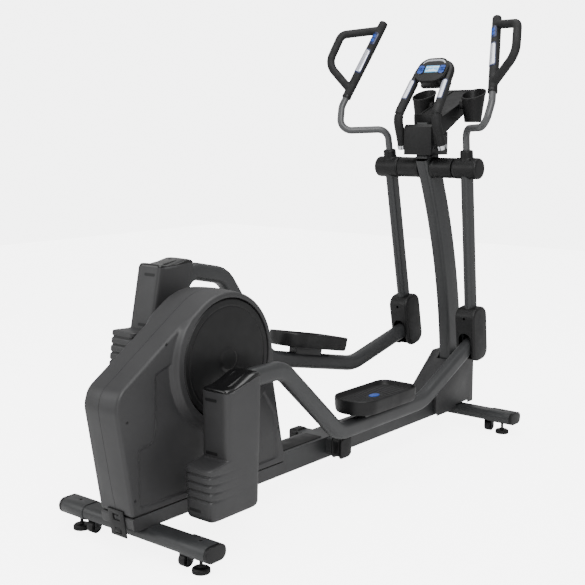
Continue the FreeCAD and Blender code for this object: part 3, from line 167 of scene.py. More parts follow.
def woven(points, wrap=True, caps=True):
    # a grid of points, rows by columns, as quads; the first and last rows can be closed by one face each
    rows, columns = points.shape[:2]
    index = np.arange(rows * columns).reshape(rows, columns)
    if wrap:
        index = np.column_stack([index, index[:, 0]])
    quads = np.stack([index[:-1, :-1], index[:-1, 1:], index[1:, 1:], index[1:, :-1]], -1)
    faces = quads.reshape(-1, 4).tolist()
    if caps:
        faces += [index[0, :columns][::-1].tolist(), index[-1, :columns].tolist()]
    return points.reshape(-1, 3), faces


def slabOf(loop, low, high, edge, order="uvd", crown=0.0, steps=5):
    # a prism over an outline, from limits in millimetres: both rims roll over by a quarter circle, and each
    # face is crowned a little
    low, high, edge, crown = low * mm, high * mm, edge * mm, crown * mm
    turn = np.linspace(0, math.pi / 2, steps + 1)
    gap = edge * (1 - np.sin(turn))
    rise = edge * (1 - np.cos(turn))
    gaps = np.concatenate([gap, gap[::-1]])
    depths = np.concatenate([low + rise, high - rise[::-1]])
    if crown:
        gaps = np.concatenate([[4 * edge], gaps, [4 * edge]])
        depths = np.concatenate([[low - crown], depths, [high + crown]])
    rows = np.stack([insetLoop(loop, gap) for gap in gaps])
    deep = np.broadcast_to(depths[:, None], rows.shape[:2])
    columns = {"u": rows[..., 0], "v": rows[..., 1], "d": deep}
    return woven(np.stack([columns[letter] for letter in order], -1))


def lathe(corners, radius, steps=64, axis="y", sign=1):
    # a line of radii and heights in millimetres, its corners rounded, turned about an axis
    profile = roundedPath(np.asarray(corners, float) * (mm, sign * mm), radius * mm, closed=False, steps=4)
    angle = fullTurn(steps)
    radius = profile[:, :1]
    height = np.broadcast_to(profile[:, 1:2], (len(profile), steps))
    columns = {"y": (radius * np.cos(angle), height, radius * np.sin(angle)),
               "z": (radius * np.cos(angle), radius * np.sin(angle), height),
               "x": (height, radius * np.cos(angle), radius * np.sin(angle))}
    return woven(np.stack(columns[axis], -1))


def swept(path, section, reference):
    # a closed section carried along a path; the reference keeps it from twisting
    ahead = unit(np.gradient(path, axis=0))
    across = unit(np.cross(ahead, reference))
    upward = np.cross(across, ahead)
    section = np.broadcast_to(section, (len(path),) + section.shape[-2:])
    return woven(path[:, None] + section[..., :1] * across[:, None] + section[..., 1:] * upward[:, None])


def rod(path, radius, edge=2, spacing=6, steps=32, reference=(1, 0, 0), swell=None):
    # a round bar along a path, its sizes in millimetres, whose two ends roll over; swell scales the radius
    radius, edge, spacing = radius * mm, edge * mm, spacing * mm
    total = pathLength(path)
    turn = np.linspace(0, math.pi / 2, 5)
    ends = edge * (1 - np.cos(turn))
    stations = np.concatenate([ends, np.arange(edge + spacing, total - edge - spacing / 2, spacing),
                               total - ends[::-1]])
    gap = np.minimum(np.minimum(stations, total - stations), edge) / edge
    radii = radius - edge * (1 - np.sqrt(1 - (1 - gap) ** 2))
    if swell is not None:
        radii = radii * swell(stations / total)
    angle = fullTurn(steps)
    section = radii[:, None, None] * np.stack([np.cos(angle), np.sin(angle)], -1)
    return swept(alongPath(path, stations), section, np.asarray(reference, float))


def moved(surface, place):
    return toRow(surface[0], place), surface[1]


def shifted(surface, offset):
    return surface[0] + np.asarray(offset, float), surface[1]


def meshOf(name, surfaces):
    # doubles merged, so that seams and poles close, and faces turned outwards
    points, faces = [], []
    for surfacePoints, surfaceFaces in surfaces:
        faces += [[index + len(points) for index in face] for face in surfaceFaces]
        points += surfacePoints.tolist()
    mesh = bpy.data.meshes.new(name)
    mesh.from_pydata(points, [], faces)
    shape = bmesh.new()
    shape.from_mesh(mesh)
    bmesh.ops.remove_doubles(shape, verts=shape.verts, dist=1.5e-5)
    bmesh.ops.dissolve_degenerate(shape, edges=shape.edges, dist=1e-6)
    bmesh.ops.recalc_face_normals(shape, faces=shape.faces)
    shape.to_mesh(mesh)
    shape.free()
    return mesh


def newObject(name, data):
    thing = bpy.data.objects.new(name, data)
    bpy.context.scene.collection.objects.link(thing)
    return thing


def placed(mesh, place, offset=(0, 0, 0)):
    for vertex in mesh.vertices:
        vertex.co = toRow(np.array(vertex.co) + offset, place)
    return mesh


def applied(name, mesh, addModifiers):
    # the mesh with its modifiers made real
    worker = newObject(name + "_worker", mesh)
    addModifiers(worker)
    bpy.context.view_layer.update()
    done = bpy.data.meshes.new_from_object(worker.evaluated_get(bpy.context.evaluated_depsgraph_get()))
    bpy.data.objects.remove(worker)
    done.name = name
    return done


def addPiece(name, mesh, material, body, nodes=(), place=None, crease=38):
    # one finished piece, from a mesh or from surfaces: the body it rides on and the CAD nodes it stands for
    if isinstance(mesh, list):
        mesh = meshOf(name, [moved(surface, place) for surface in mesh] if place else mesh)
    mesh.shade_smooth()
    mesh.set_sharp_from_angle(angle=math.radians(crease))
    mesh.materials.clear()
    mesh.materials.append(material)
    piece = newObject(name, mesh)
    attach(piece, body)
    if nodes:
        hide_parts(*nodes)


def fused(name, surfaces, voxel, rounds):
    # separate surfaces grown into one skin, then relaxed
    def modify(worker):
        skin = worker.modifiers.new("Skin", "REMESH")
        skin.mode = "VOXEL"
        skin.voxel_size = voxel
        relax = worker.modifiers.new("Relax", "SMOOTH")
        relax.iterations = rounds
        relax.factor = 0.5
    return applied(name, meshOf(name, surfaces), modify)


def carved(name, surfaces, cutters):
    # the first surfaces less the cutters
    tools = []
    for count, cutter in enumerate(cutters):
        tools.append(newObject("%s_tool%d" % (name, count), meshOf("tool", [cutter])))

    def modify(worker):
        for tool in tools:
            cut = worker.modifiers.new("Cut", "BOOLEAN")
            cut.operation = "DIFFERENCE"
            cut.solver = "EXACT"
            cut.object = tool
    mesh = applied(name, meshOf(name, surfaces), modify)
    for tool in tools:
        bpy.data.objects.remove(tool)
    return mesh


def dressed(node, material, bevel):
    # a CAD node's own shape, merged and with its sharp edges rolled over by so many millimetres
    source = frame["nodes"][node]
    mesh = source.data.copy()
    shape = bmesh.new()
    shape.from_mesh(mesh)
    bmesh.ops.remove_doubles(shape, verts=shape.verts, dist=1e-6)
    bmesh.ops.dissolve_limit(shape, angle_limit=math.radians(0.6), verts=shape.verts, edges=shape.edges)
    shape.to_mesh(mesh)
    shape.free()

    def modify(worker):
        roll = worker.modifiers.new("Roll", "BEVEL")
        roll.width = bevel * mm
        roll.segments = 3
        roll.limit_method = "ANGLE"
        roll.angle_limit = math.radians(30)
    addPiece(node + "_shown", applied(node, mesh, modify), material, source["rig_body"], [node], crease=45)


# Materials. Colours are sRGB hex values, and pattern sizes are in millimetres.
def linear(code):
    parts = [int(code[start:start + 2], 16) / 255 for start in (1, 3, 5)]
    return tuple(part / 12.92 if part <= 0.04045 else ((part + 0.055) / 1.055) ** 2.4 for part in parts) + (1.0,)


def feed(tree, node, inputs):
    # each input takes a value or another node's socket
    for name, value in inputs.items():
        if isinstance(value, bpy.types.NodeSocket):
            tree.links.new(value, node.inputs[name])
        else:
            node.inputs[name].default_value = value


def addNode(tree, kind, inputs=None, **settings):
    # a node with its settings and inputs
    node = tree.nodes.new("ShaderNode" + kind)
    for name, value in settings.items():
        setattr(node, name, value)
    feed(tree, node, inputs or {})
    return node


def newMaterial(name):
    material = bpy.data.materials.new(name)
    material.use_nodes = True
    tree = material.node_tree
    tree.nodes.clear()
    shader = addNode(tree, "BsdfPrincipled")
    addNode(tree, "OutputMaterial", {"Surface": shader.outputs["BSDF"]})
    return material, tree, shader, addNode(tree, "TexCoord").outputs["Object"]


def noiseAt(tree, where, size, detail=3.0):
    # blotches about as wide as the given size in millimetres
    noise = {"Vector": where, "Scale": 1 / (size * mm), "Detail": detail}
    return addNode(tree, "TexNoise", noise).outputs["Fac"]


def ramped(tree, factor, codes):
    ramp = addNode(tree, "ValToRGB", {"Fac": factor})
    for element, code, stop in zip(ramp.color_ramp.elements, codes, (0.3, 0.7)):
        element.color = linear(code)
        element.position = stop
    return ramp.outputs["Color"]


def ranged(tree, value, low, high):
    limits = {"Value": value, "From Min": 0.3, "From Max": 0.7, "To Min": low, "To Max": high}
    return addNode(tree, "MapRange", limits).outputs["Result"]


def raised(tree, height, strength, distance):
    # relief as deep as the distance in millimetres
    relief = {"Height": height, "Strength": strength, "Distance": distance * mm}
    return addNode(tree, "Bump", relief).outputs["Normal"]


def grained(name, colours, blotch, wear, roughness, grain, relief, cells=False, metallic=0, coat=0, ior=None):
    # blotches of two close colours, a fine grain in relief and roughness that wanders; sizes in millimetres
    material, tree, shader, where = newMaterial(name)
    if cells:
        bumps = addNode(tree, "TexVoronoi", {"Vector": where, "Scale": 1 / (grain * mm)}).outputs["Distance"]
    else:
        bumps = noiseAt(tree, where, grain, 2)
    feed(tree, shader, {"Base Color": ramped(tree, noiseAt(tree, where, blotch), colours),
                        "Roughness": ranged(tree, noiseAt(tree, where, wear, 5), *roughness),
                        "Normal": raised(tree, bumps, *relief), "Metallic": metallic,
                        "Coat Weight": coat, "Coat Roughness": 0.1})
    if ior:
        shader.inputs["IOR"].default_value = ior
    return material


def brushed(name, colours, stretch, line, roughness, relief):
    # drawn or turned metal: fine lines along one axis break the highlight into streaks
    material, tree, shader, where = newMaterial(name)
    drawn = addNode(tree, "Mapping", {"Vector": where, "Scale": stretch}).outputs["Vector"]
    lines = noiseAt(tree, drawn, line, 2.0)
    feed(tree, shader, {"Base Color": ramped(tree, lines, colours), "Metallic": 1.0,
                        "Roughness": ranged(tree, lines, *roughness),
                        "Normal": raised(tree, lines, relief, 0.05)})
    return material


def litDisplay(name, colours, haze, glow):
    # a backlit liquid crystal under clear plastic, its light a little uneven
    material, tree, shader, where = newMaterial(name)
    light = ramped(tree, noiseAt(tree, where, haze), colours)
    feed(tree, shader, {"Base Color": light, "Emission Color": light, "Emission Strength": glow,
                        "Roughness": 0.12, "Coat Weight": 0.6})
    return material


# Powder-coated steel: a baked polyester coat with a slight orange peel and a soft sheen.
coatedSteel = grained("powder-coated steel, charcoal", ("#2c2d2e", "#303132"), blotch=120, wear=60,
        roughness=(0.36, 0.46), grain=1.6, relief=(0.25, 0.12), ior=1.5)
# Powder-coated tube in the lighter grey of the hand-held bars.
paleSteel = grained("powder-coated steel, mid grey", ("#474849", "#4c4d4e"), blotch=90, wear=50,
        roughness=(0.34, 0.42), grain=1.4, relief=(0.2, 0.1), ior=1.5)
# Moulded ABS with a fine spark-eroded texture, which scatters the highlight.
mouldedAbs = grained("moulded ABS, charcoal", ("#29292a", "#2d2d2e"), blotch=160, wear=80,
        roughness=(0.42, 0.54), grain=0.9, relief=(0.35, 0.08), ior=1.52)
# Black glass-filled nylon and polypropylene parts, a little rougher.
blackNylon = grained("moulded nylon, black", ("#0b0b0c", "#101011"), blotch=60, wear=40,
        roughness=(0.38, 0.52), grain=0.8, relief=(0.4, 0.08), ior=1.4)
glossAbs = grained("polished ABS, black", ("#0a0a0b", "#0e0e0f"), blotch=80, wear=30,
        roughness=(0.16, 0.24), grain=2.0, relief=(0.05, 0.05), ior=1.52)
# Closed-cell foam rubber on the grips: matt, with open pores.
foamRubber = grained("foam rubber, black", ("#0c0c0d", "#121213"), blotch=12, wear=25,
        roughness=(0.62, 0.8), grain=1.1, relief=(0.6, 0.2), cells=True, ior=1.48)
hardRubber = grained("moulded rubber, black", ("#0d0d0e", "#131314"), blotch=20, wear=20,
        roughness=(0.55, 0.72), grain=0.7, relief=(0.5, 0.1), ior=1.5)
blueSilicone = grained("silicone rubber keys, blue", ("#1d3f8f", "#2750a6"), blotch=8, wear=6,
        roughness=(0.32, 0.45), grain=0.6, relief=(0.2, 0.05), ior=1.43)
navyTrim = grained("moulded ABS, navy", ("#101b40", "#162550"), blotch=20, wear=15, roughness=(0.3, 0.42),
        grain=0.8, relief=(0.2, 0.05), ior=1.52)
satinPlate = grained("vacuum-plated ABS, silver", ("#c9cbd6", "#d8dae4"), blotch=40, wear=15,
        roughness=(0.2, 0.32), grain=1.5, relief=(0.05, 0.05), metallic=0.55)
silverTrim = grained("painted ABS, silver", ("#9c9ea2", "#aeb0b4"), blotch=30, wear=15,
        roughness=(0.25, 0.35), grain=0.8, relief=(0.1, 0.05), metallic=0.6, coat=0.3)
whiteInk = grained("screen-printed ink, white", ("#d4d9e4", "#e6eaf2"), blotch=6, wear=4,
        roughness=(0.4, 0.5), grain=0.5, relief=(0.1, 0.03))
darkInk = grained("liquid crystal segments", ("#eaf6ff", "#f6fbff"), blotch=6, wear=4, roughness=(0.2, 0.3),
        grain=0.5, relief=(0.05, 0.02))
circuitBoard = grained("lacquered circuit board", ("#0d3b22", "#14512f"), blotch=9, wear=5,
        roughness=(0.22, 0.34), grain=1.0, relief=(0.2, 0.05), coat=0.4)
castIron = grained("cast iron, machined and oiled", ("#4b4a48", "#5c5a57"), blotch=25, wear=12,
        roughness=(0.32, 0.5), grain=0.9, relief=(0.3, 0.08), metallic=1.0)
turnedSteel = brushed("turned steel", ("#a6a6a8", "#b8b8ba"), stretch=(0.08, 1.0, 0.08), line=0.6,
        roughness=(0.24, 0.36), relief=0.15)
chromedSteel = brushed("chromed steel", ("#cfd0d2", "#dcdde0"), stretch=(1.0, 0.1, 1.0), line=1.2,
        roughness=(0.1, 0.18), relief=0.05)
litPanel = litDisplay("backlit display", ("#3f9fd8", "#6cc0ea"), haze=30, glow=0.35)
print("materials made:", len(bpy.data.materials))


# Drive housing: each half is one skin, laid out on lines that run from its outline in to the crank disc.
housing = {"halfWidth": 69, "bezelRise": 15, "bezelFoot": 220, "bezelTop": 204, "opening": 184, "crown": 202,
           "corners": (14, 60, 60, 202, 14), "edge": 10, "lip": 4, "throat": 71, "ridge": 4, "seamDepth": 2.5,
           "wall": 2.5, "columns": 350, "rows": 84, "recess": 4.5, "rearMid": 445, "rearHigh": (14, 490),
           "rearLow": 53}
recessOutline = [(-887, 150), (-887, 322), (-834, 330), (-820, 380), (-818, 523), (-700, 560), (-380, 420),
                 (-300, 300), (-292, 150)]


def smoothStep(value):
    value = np.clip(value, 0, 1)
    return value * value * (3 - 2 * value)


def tangentPoint(point, centre, radius, side):
    # where the line from a point touches a circle
    gap = centre - point
    distance = np.linalg.norm(gap)
    turn = math.atan2(gap[1], gap[0]) + side * math.asin(radius / distance)
    return point + math.sqrt(distance ** 2 - radius ** 2) * np.array([math.cos(turn), math.sin(turn)])


def housingOutline():
    low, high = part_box("housing_right_shell")
    centre = crankPlace[[0, 2]]
    rearLow = np.array([low.x + housing["rearLow"] * mm, low.z])
    rearMid = np.array([low.x, housing["rearMid"] * mm])
    rearHigh = np.array([low.x + housing["rearHigh"][0] * mm, housing["rearHigh"][1] * mm])
    frontLow = np.array([high.x, low.z])
    rise = tangentPoint(rearHigh, centre, housing["crown"] * mm, 1) - rearHigh
    fall = tangentPoint(frontLow, centre, housing["crown"] * mm, -1) - frontLow
    share = np.linalg.solve(np.stack([rise, -fall], 1), frontLow - rearHigh)[0]
    corners = [rearLow, rearMid, rearHigh, rearHigh + share * rise, frontLow]
    loop = roundedPath(corners, np.array(housing["corners"]) * mm, steps=40)
    return evenLoop(loop, housing["columns"])


def loopDistance(points, loop):
    # distance to the nearest side of a closed outline, negative inside it
    start, end = loop, np.roll(loop, -1, 0)
    run = end - start
    gap = points[..., None, :] - start
    share = np.clip((gap * run).sum(-1) / (run * run).sum(-1), 0, 1)
    near = np.linalg.norm(gap - share[..., None] * run, axis=-1).min(-1)
    x, z = points[..., None, 0], points[..., None, 1]
    crosses = (start[:, 1] > z) != (end[:, 1] > z)
    run1 = np.where(np.abs(run[:, 1]) < 1e-12, 1e-12, run[:, 1])
    hit = crosses & (x < start[:, 0] + (z - start[:, 1]) / run1 * run[:, 0])
    return np.where(hit.sum(-1) % 2 == 1, -near, near)


def housingSkin(sign):
    outline = housingOutline()
    centre = crankPlace[[0, 2]]
    outward = unit(outline - centre)
    reach = np.linalg.norm(outline - centre, axis=1)
    edge = housing["edge"] * mm

    def sideHeight(radius):  # half the width, more over the ring about the disc
        ring = (housing["bezelFoot"] * mm - radius) / ((housing["bezelFoot"] - housing["bezelTop"]) * mm)
        return housing["halfWidth"] * mm + housing["bezelRise"] * mm * smoothStep(ring)
    top = sideHeight(reach) - edge
    share = np.linspace(0.01, 1, 8)[:, None]
    ridge = housing["ridge"] * mm * (1 - share ** 2) * smoothStep((outline[:, 1] - 0.14) / 0.08)
    ridgeRows = np.stack([outline[:, 0] + outward[:, 0] * ridge, share * top,
                          outline[:, 1] + outward[:, 1] * ridge], -1)
    seam = ridgeRows[:1].copy()
    seam[0, :, [0, 2]] -= (outward * housing["seamDepth"] * mm).T
    seam[0, :, 1] = 0.0003
    spread = np.linspace(0, 1, housing["rows"])
    spread = (spread ** 2 * (3 - 2 * spread))[1:, None]
    radius = reach + (housing["opening"] * mm - reach) * spread
    flat = centre + outward * radius[..., None]
    inside = -loopDistance(flat, outline)
    drop = edge - np.sqrt(np.maximum(edge ** 2 - np.maximum(edge - inside, 0) ** 2, 0))
    lip = housing["lip"] * mm
    lipGap = np.maximum(lip - (radius - housing["opening"] * mm), 0)
    drop = drop + lip - np.sqrt(np.maximum(lip ** 2 - lipGap ** 2, 0))
    sunk = -loopDistance(flat, roundedPath(np.array(recessOutline) * mm, 14 * mm))
    clear = smoothStep((radius - housing["bezelFoot"] * mm) / (6 * mm))
    drop = drop + housing["recess"] * mm * smoothStep(sunk / (5 * mm)) * clear
    sideRows = np.stack([flat[..., 0], sideHeight(radius) - drop, flat[..., 1]], -1)
    throat = sideRows[-1:].copy()
    throat[..., 1] = housing["throat"] * mm
    points = np.concatenate([seam, ridgeRows, sideRows, throat])
    points[..., 1] *= sign
    return woven(points, caps=False)


def thickenWall(worker):
    wall = worker.modifiers.new("Wall", "SOLIDIFY")
    wall.thickness = housing["wall"] * mm
    wall.offset = -1


for side, sign in sides.items():
    name = "housing_%s_shell" % side
    mesh = applied(name, meshOf(name, [housingSkin(sign)]), thickenWall)
    addPiece(name + "_skin", mesh, mouldedAbs, "frame", [name])

skirt = {"low": 92, "high": 127.2, "half": 69, "edge": 3, "rearLow": -905.1, "rearHigh": -911, "front": -250}
skirtLoop = roundedPath(np.array([(skirt["rearLow"], skirt["low"]), (skirt["front"], skirt["low"]),
                                  (skirt["front"], skirt["high"]), (skirt["rearHigh"], skirt["high"])]) * mm,
                        6 * mm)
skirtSides = [slabOf(skirtLoop, 0.2 * sign, skirt["half"] * sign, skirt["edge"] * sign, "udv")
              for sign in sides.values()]
for surface in skirtSides:
    surface[0][:, 1] = np.clip(surface[0][:, 1], -skirt["half"] * mm, skirt["half"] * mm)
addPiece("housing_skirts", skirtSides, mouldedAbs, "frame", ["housing_base_skirts"])

# Crank discs: a shallow dish with a raised hub, a groove near the rim and a boss over each crank pin.
disc = {"radius": 182, "face": 82.5, "back": 71, "groove": 160, "boss": 21}
for side, sign in sides.items():
    profile = [(0, 86), (30, 86), (34, 84), (38, disc["face"]), (disc["groove"] - 4, disc["face"] - 0.5),
               (disc["groove"], disc["face"] - 2), (disc["groove"] + 4, disc["face"] - 0.5),
               (disc["radius"] - 4, disc["face"] - 1), (disc["radius"], disc["face"] - 5),
               (disc["radius"], disc["back"]), (0, disc["back"])]
    face = lathe(profile, 1, 128, sign=sign)
    pin = armFrame(side)[0]
    boss = lathe([(0, 90), (disc["boss"] - 3, 90), (disc["boss"], 87), (disc["boss"] + 3, 80), (0, 80)],
                 1, 48, sign=sign)
    place = crankPlace * (1, 0, 1)
    addPiece("crank_disc_%s_face" % side, [shifted(face, place), shifted(boss, pin)], blackNylon,
             "crank", ["crank_discs"] if side == "right" else [])
print("housing and discs made")


# Link covers: a tall hollow box whose foot steps out to the rear, with grooves across the step.
link = {"inner": 138, "outer": 240, "foot": -262, "top": 108, "rearHigh": -130, "rearLow": -203, "step": -105,
        "frontHigh": 20, "frontLow": 6, "grooves": (-128, -152, -176, -200), "groove": 4.5, "grooveWidth": 3.2,
        "roll": 16.0, "rows": 190, "columns": 120, "slotShade": ((70, -130), (-84, -130), (-232, -198)),
        "cap": ((1.6, -1), (1.6, 3), (2.2, 5.5), (4, 8), (8, 10), (16, 11), (30, 12))}


def linkTop(x):
    # the top edge rises towards the front in an S
    return (-14 + 30 * smoothStep((x / mm + 95) / 95)) * mm


def linkSkin(low, high, rows, inset=0.0):
    height = np.linspace(low, high, rows)[:, None]
    rear = link["rearHigh"] + (link["rearLow"] - link["rearHigh"]) * smoothStep((link["step"] + 9 - height) / 15)
    rear = rear + 5 * smoothStep((link["step"] - height) / 150)
    share = (height - link["foot"]) / (link["top"] - link["foot"])
    front = link["frontLow"] + (link["frontHigh"] - link["frontLow"]) * share
    roll = link["roll"]
    rollIn = roll - np.sqrt(np.maximum(roll ** 2 - np.maximum(roll - (height - link["foot"]), 0) ** 2, 0))
    rear, front = rear + rollIn + inset, front - rollIn - inset
    inner, outer = link["inner"] + rollIn / 2 + inset, link["outer"] - rollIn / 2 - inset
    angle = fullTurn(link["columns"])
    power = 0.22  # a rounded rectangle as a superellipse
    alongX = np.sign(np.cos(angle)) * np.abs(np.cos(angle)) ** power
    alongY = np.sign(np.sin(angle)) * np.abs(np.sin(angle)) ** power
    x = (rear + front) / 2 + (front - rear) / 2 * alongX
    y = (inner + outer) / 2 + (outer - inner) / 2 * alongY
    rearward = smoothStep((-alongX - 0.35) / 0.4)
    for groove in link["grooves"]:
        dent = link["groove"] * np.exp(-((height - groove) / link["grooveWidth"]) ** 2)
        x = x + dent * rearward
        y = y - np.sign(alongY) * 0.5 * dent * rearward
    z = height * np.ones_like(x)
    points = np.stack([x, y, z], -1) * mm
    lift = smoothStep((height - 20) / (link["top"] - 20))
    points[..., 2] += linkTop(points[..., 0]) * lift
    return points


for side, sign in sides.items():
    place = armFrame(side)
    body = side + "_pedal"
    flip = np.array([1, sign, 1])
    skin = linkSkin(link["foot"], link["top"], link["rows"])
    addPiece(side + "_link_cover_skin", [woven(skin * flip)], mouldedAbs, body, [side + "_link_cover"],
             place)
    rows = [linkSkin(link["top"], link["top"], 1, gap) + (0, 0, rise * mm)
            for gap, rise in link["cap"]]
    addPiece(side + "_link_cap_skin", [woven(np.concatenate(rows) * flip)], glossAbs, body,
             [side + "_link_cover_cap"], place)
    # black pills set 0.5 mm proud on the rear face: painted shade standing for the dark inside the slots, which
    # are holes
    slotShade = []
    for height, rear in link["slotShade"]:
        loop = rectLoop(156, height - 4, 200, height + 4, 3.5)
        slotShade.append(slabOf(loop, rear + 6, rear - 0.5, -0.5, "duv"))
    slotShade = [(points * flip, faces) for points, faces in slotShade]
    addPiece(side + "_link_cover_slot_shade", slotShade, blackNylon, body, place=place)

# Pedal arms: a rounded rectangular tube bent into a gooseneck, with an eye for the lower joint.
pedalArm = {"path": [(0, 0), (0, 100), (184, 100), (473, -163), (982, -163), (1338, 0)],
            "bends": (60, 60, 95, 95, 200, 200), "plane": 170, "depth": 57, "width": 46, "corner": 18, "eye": 24,
            "bore": 10.2, "bracket": (605, -142, 755, -114)}
for side, sign in sides.items():
    line = np.array([(x, sign * pedalArm["plane"], z) for x, z in pedalArm["path"]]) * mm
    path = roundedPath(line, np.array(pedalArm["bends"]) * mm, closed=False, steps=24)
    path = alongPath(path, np.linspace(0, pathLength(path), 190))
    half = np.array([pedalArm["depth"], pedalArm["width"]]) / 2 * mm
    section = boxLoop(half, pedalArm["corner"] * mm, 7)
    tube = swept(path, section, np.array([0, 1.0, 0]))
    eye = lathe([(pedalArm["bore"], -20), (pedalArm["eye"], -20), (pedalArm["eye"], 20), (pedalArm["bore"], 20),
                 (pedalArm["bore"], -20)], 1, 48)
    eye = shifted(eye, line[-1])
    plane = sign * pedalArm["plane"]
    bracket = slabOf(rectLoop(*pedalArm["bracket"], 5), plane - 18, plane + 18, 2, "udv")
    addPiece(side + "_pedal_arm_tube", [tube, eye, bracket], coatedSteel, side + "_pedal",
             [side + "_pedal_arm"], armFrame(side))

# Footplates: a shallow tub with a rolled rim, a ribbed tread and a plain oval inlay.
plate = {"middle": (680, 170), "length": 336, "width": 162, "corners": (44, 76, 76, 44), "floor": -114.5,
         "treadLift": 30, "ribPitch": 13, "ribHeight": 2.6, "inlay": (24, 15)}
plateProfile = [(60, 20), (34, 12), (22, 5), (14, 1), (10, 0), (6, 1), (3, 6), (0.8, 20), (0, 44), (0, 47.6),
                (1, 49.4), (2.4, 50), (4, 49.2), (5.4, 46.6), (7.5, 38), (10, 33), (14, 30.5), (22, 29.5)]
for side, sign in sides.items():
    place = armFrame(side)
    body = side + "_pedal"
    half = np.array([plate["length"], plate["width"]]) / 2 * mm
    loop = boxLoop(half, np.array(plate["corners"]) * mm, 16)
    middle = np.array([plate["middle"][0], sign * plate["middle"][1]]) * mm
    rows = [np.insert(insetLoop(loop, gap * mm) + middle, 2, (plate["floor"] + rise) * mm, axis=1)
            for gap, rise in plateProfile]
    addPiece(side + "_footplate_tub", [woven(np.stack(rows))], blackNylon, body, [side + "_footplate"],
             place)
    share = np.linspace(0.02, 1, 90)[:, None, None]
    flat = insetLoop(evenLoop(loop, 260), 12 * mm) * share
    fan = flat[..., 1] / (1 + 0.55 * flat[..., 0] / half[0]) / (plate["ribPitch"] * mm)
    border = smoothStep((1 - share[..., 0]) / 0.08)
    centre = smoothStep((np.hypot(flat[..., 0] / 34, flat[..., 1] / 22) / mm - 1) / 0.15)
    rib = smoothStep(0.5 + 1.2 * np.cos(2 * math.pi * fan)) * border * centre
    top = (plate["floor"] + plate["treadLift"] + 3 + plate["ribHeight"] * rib) * mm
    base = plate["floor"] + plate["treadLift"]
    under = flat[-1:] + middle
    grid = np.concatenate([np.dstack([flat + middle, top]),
                           np.dstack([under, np.full(under.shape[:2], base * mm)])])
    addPiece(side + "_tread_ribs", [woven(grid)], hardRubber, body, [side + "_footplate_tread"],
             place, crease=50)
    turn = fullTurn(60)
    oval = np.stack([plate["inlay"][0] * np.cos(turn), plate["inlay"][1] * np.sin(turn)], 1) * mm + middle
    inlay = slabOf(oval, base + 2, base + 5.2, 0.8, "uvd", 0.6)
    addPiece(side + "_footplate_inlay", [inlay], blueSilicone, body, place=place)
print("pedal arms made")


# Swing arms and what they carry.
for node in ("right_swing_arm", "left_swing_arm"):
    dressed(node, coatedSteel, 1.2)
hub = {"barrel": 40, "inner": 120.5, "outer": 226, "edge": 9, "collar": 24.5, "collarTop": 68, "voxel": 2.2}
for side, sign in sides.items():
    place = swingFrame(side)
    barrel = lathe([(0, hub["inner"]), (hub["barrel"], hub["inner"]), (hub["barrel"], hub["outer"]),
                    (0, hub["outer"])], hub["edge"], 72, sign=sign)
    collar = lathe([(0, 0), (hub["collar"] + 4, 0), (hub["collar"], 40), (hub["collar"], hub["collarTop"]),
                    (0, hub["collarTop"])], 5, 48, "z")
    collar = shifted(collar, (0, sign * pedalArm["plane"] * mm, 0))
    mesh = fused("hub_cover", [moved(barrel, place), moved(collar, place)], hub["voxel"] * mm, 8)
    addPiece(side + "_hub_cover_skin", mesh, blackNylon, side + "_swing", [side + "_hub_cover"])

sleeve = {"bore": 13, "radius": 38.5, "flange": 40, "inner": 26.3, "outer": 119}
sleeves = []
for sign in sides.values():
    profile = [(sleeve["bore"], sleeve["inner"]), (sleeve["flange"], sleeve["inner"]),
               (sleeve["flange"], sleeve["inner"] + 12), (sleeve["radius"], sleeve["inner"] + 14),
               (sleeve["radius"], sleeve["outer"]), (sleeve["bore"], sleeve["outer"])]
    sleeves.append(shifted(lathe(profile, 1.5, 72, sign=sign), swingPlace))
addPiece("axle_sleeves", sleeves, blackNylon, "frame", ["pivot_sleeves"])

# Lower joint covers: a rounded box, hollow, and open behind where the pedal arm comes in.
boot = {"place": -675, "outline": [(-53, 142), (-53, -68), (53, -68), (53, 142)], "half": 42, "wall": 3,
        "corner": 40, "edge": 10, "opening": (52, 92), "screw": (0, 104)}
for side, sign in sides.items():
    place = swingFrame(side)
    spot = np.array([0, sign * pedalArm["plane"], boot["place"]]) * mm
    loop = roundedPath(np.array(boot["outline"]) * mm, boot["corner"] * mm, steps=12)
    skin = slabOf(loop, -boot["half"], boot["half"], boot["edge"], "udv", steps=8)
    half = boot["half"] - boot["wall"]
    hollow = slabOf(insetLoop(loop, boot["wall"] * mm), -half, half, boot["edge"], "udv", steps=8)
    width, top = np.array(boot["opening"]) / 2 * mm
    door = np.array([(-width, -90 * mm), (width, -90 * mm), (width, top), (-width, top)])
    door = slabOf(roundedPath(door, width * 0.98, steps=12), -70, -12, 0.5, "duv")
    screw = lathe([(0, -9), (5.5, -9), (5.5, 9), (0, 9)], 0.6, 32, "x")
    mesh = carved("boot", [skin], [hollow, door, shifted(screw, (-54 * mm, 0, boot["screw"][1] * mm))])
    addPiece(side + "_lower_joint_skin", placed(mesh, place, spot), blackNylon, side + "_swing",
             [side + "_lower_joint_cover"], crease=42)
print("swing arms made")

# Moving handlebars and their grips, in the swing arm's frame, in millimetres.
handle = {"path": [(0, 170, 36), (0, 170, 148), (-118, 314, 165), (-76, 322, 252), (136, 234, 537)],
          "bends": (30, 42, 42, 70, 30), "radius": 13.5, "grip": 17.5, "gripFrom": 0.12,
          "loop": [(36, 369, 514), (-35, 396, 412)], "loopFrom": 0.92, "loopTo": 0.2,
          "loopBends": (32, 62), "loopRadius": 16, "voxel": 2.0, "plateAt": 0.4, "plateLong": 96, "keyAt": 0.8}


def onAxis(points, at, direction, normal):
    # local x runs along the direction, y across it and z along the normal
    across = np.cross(normal, direction)
    return at + points[..., :1] * direction + points[..., 1:2] * across + points[..., 2:3] * normal


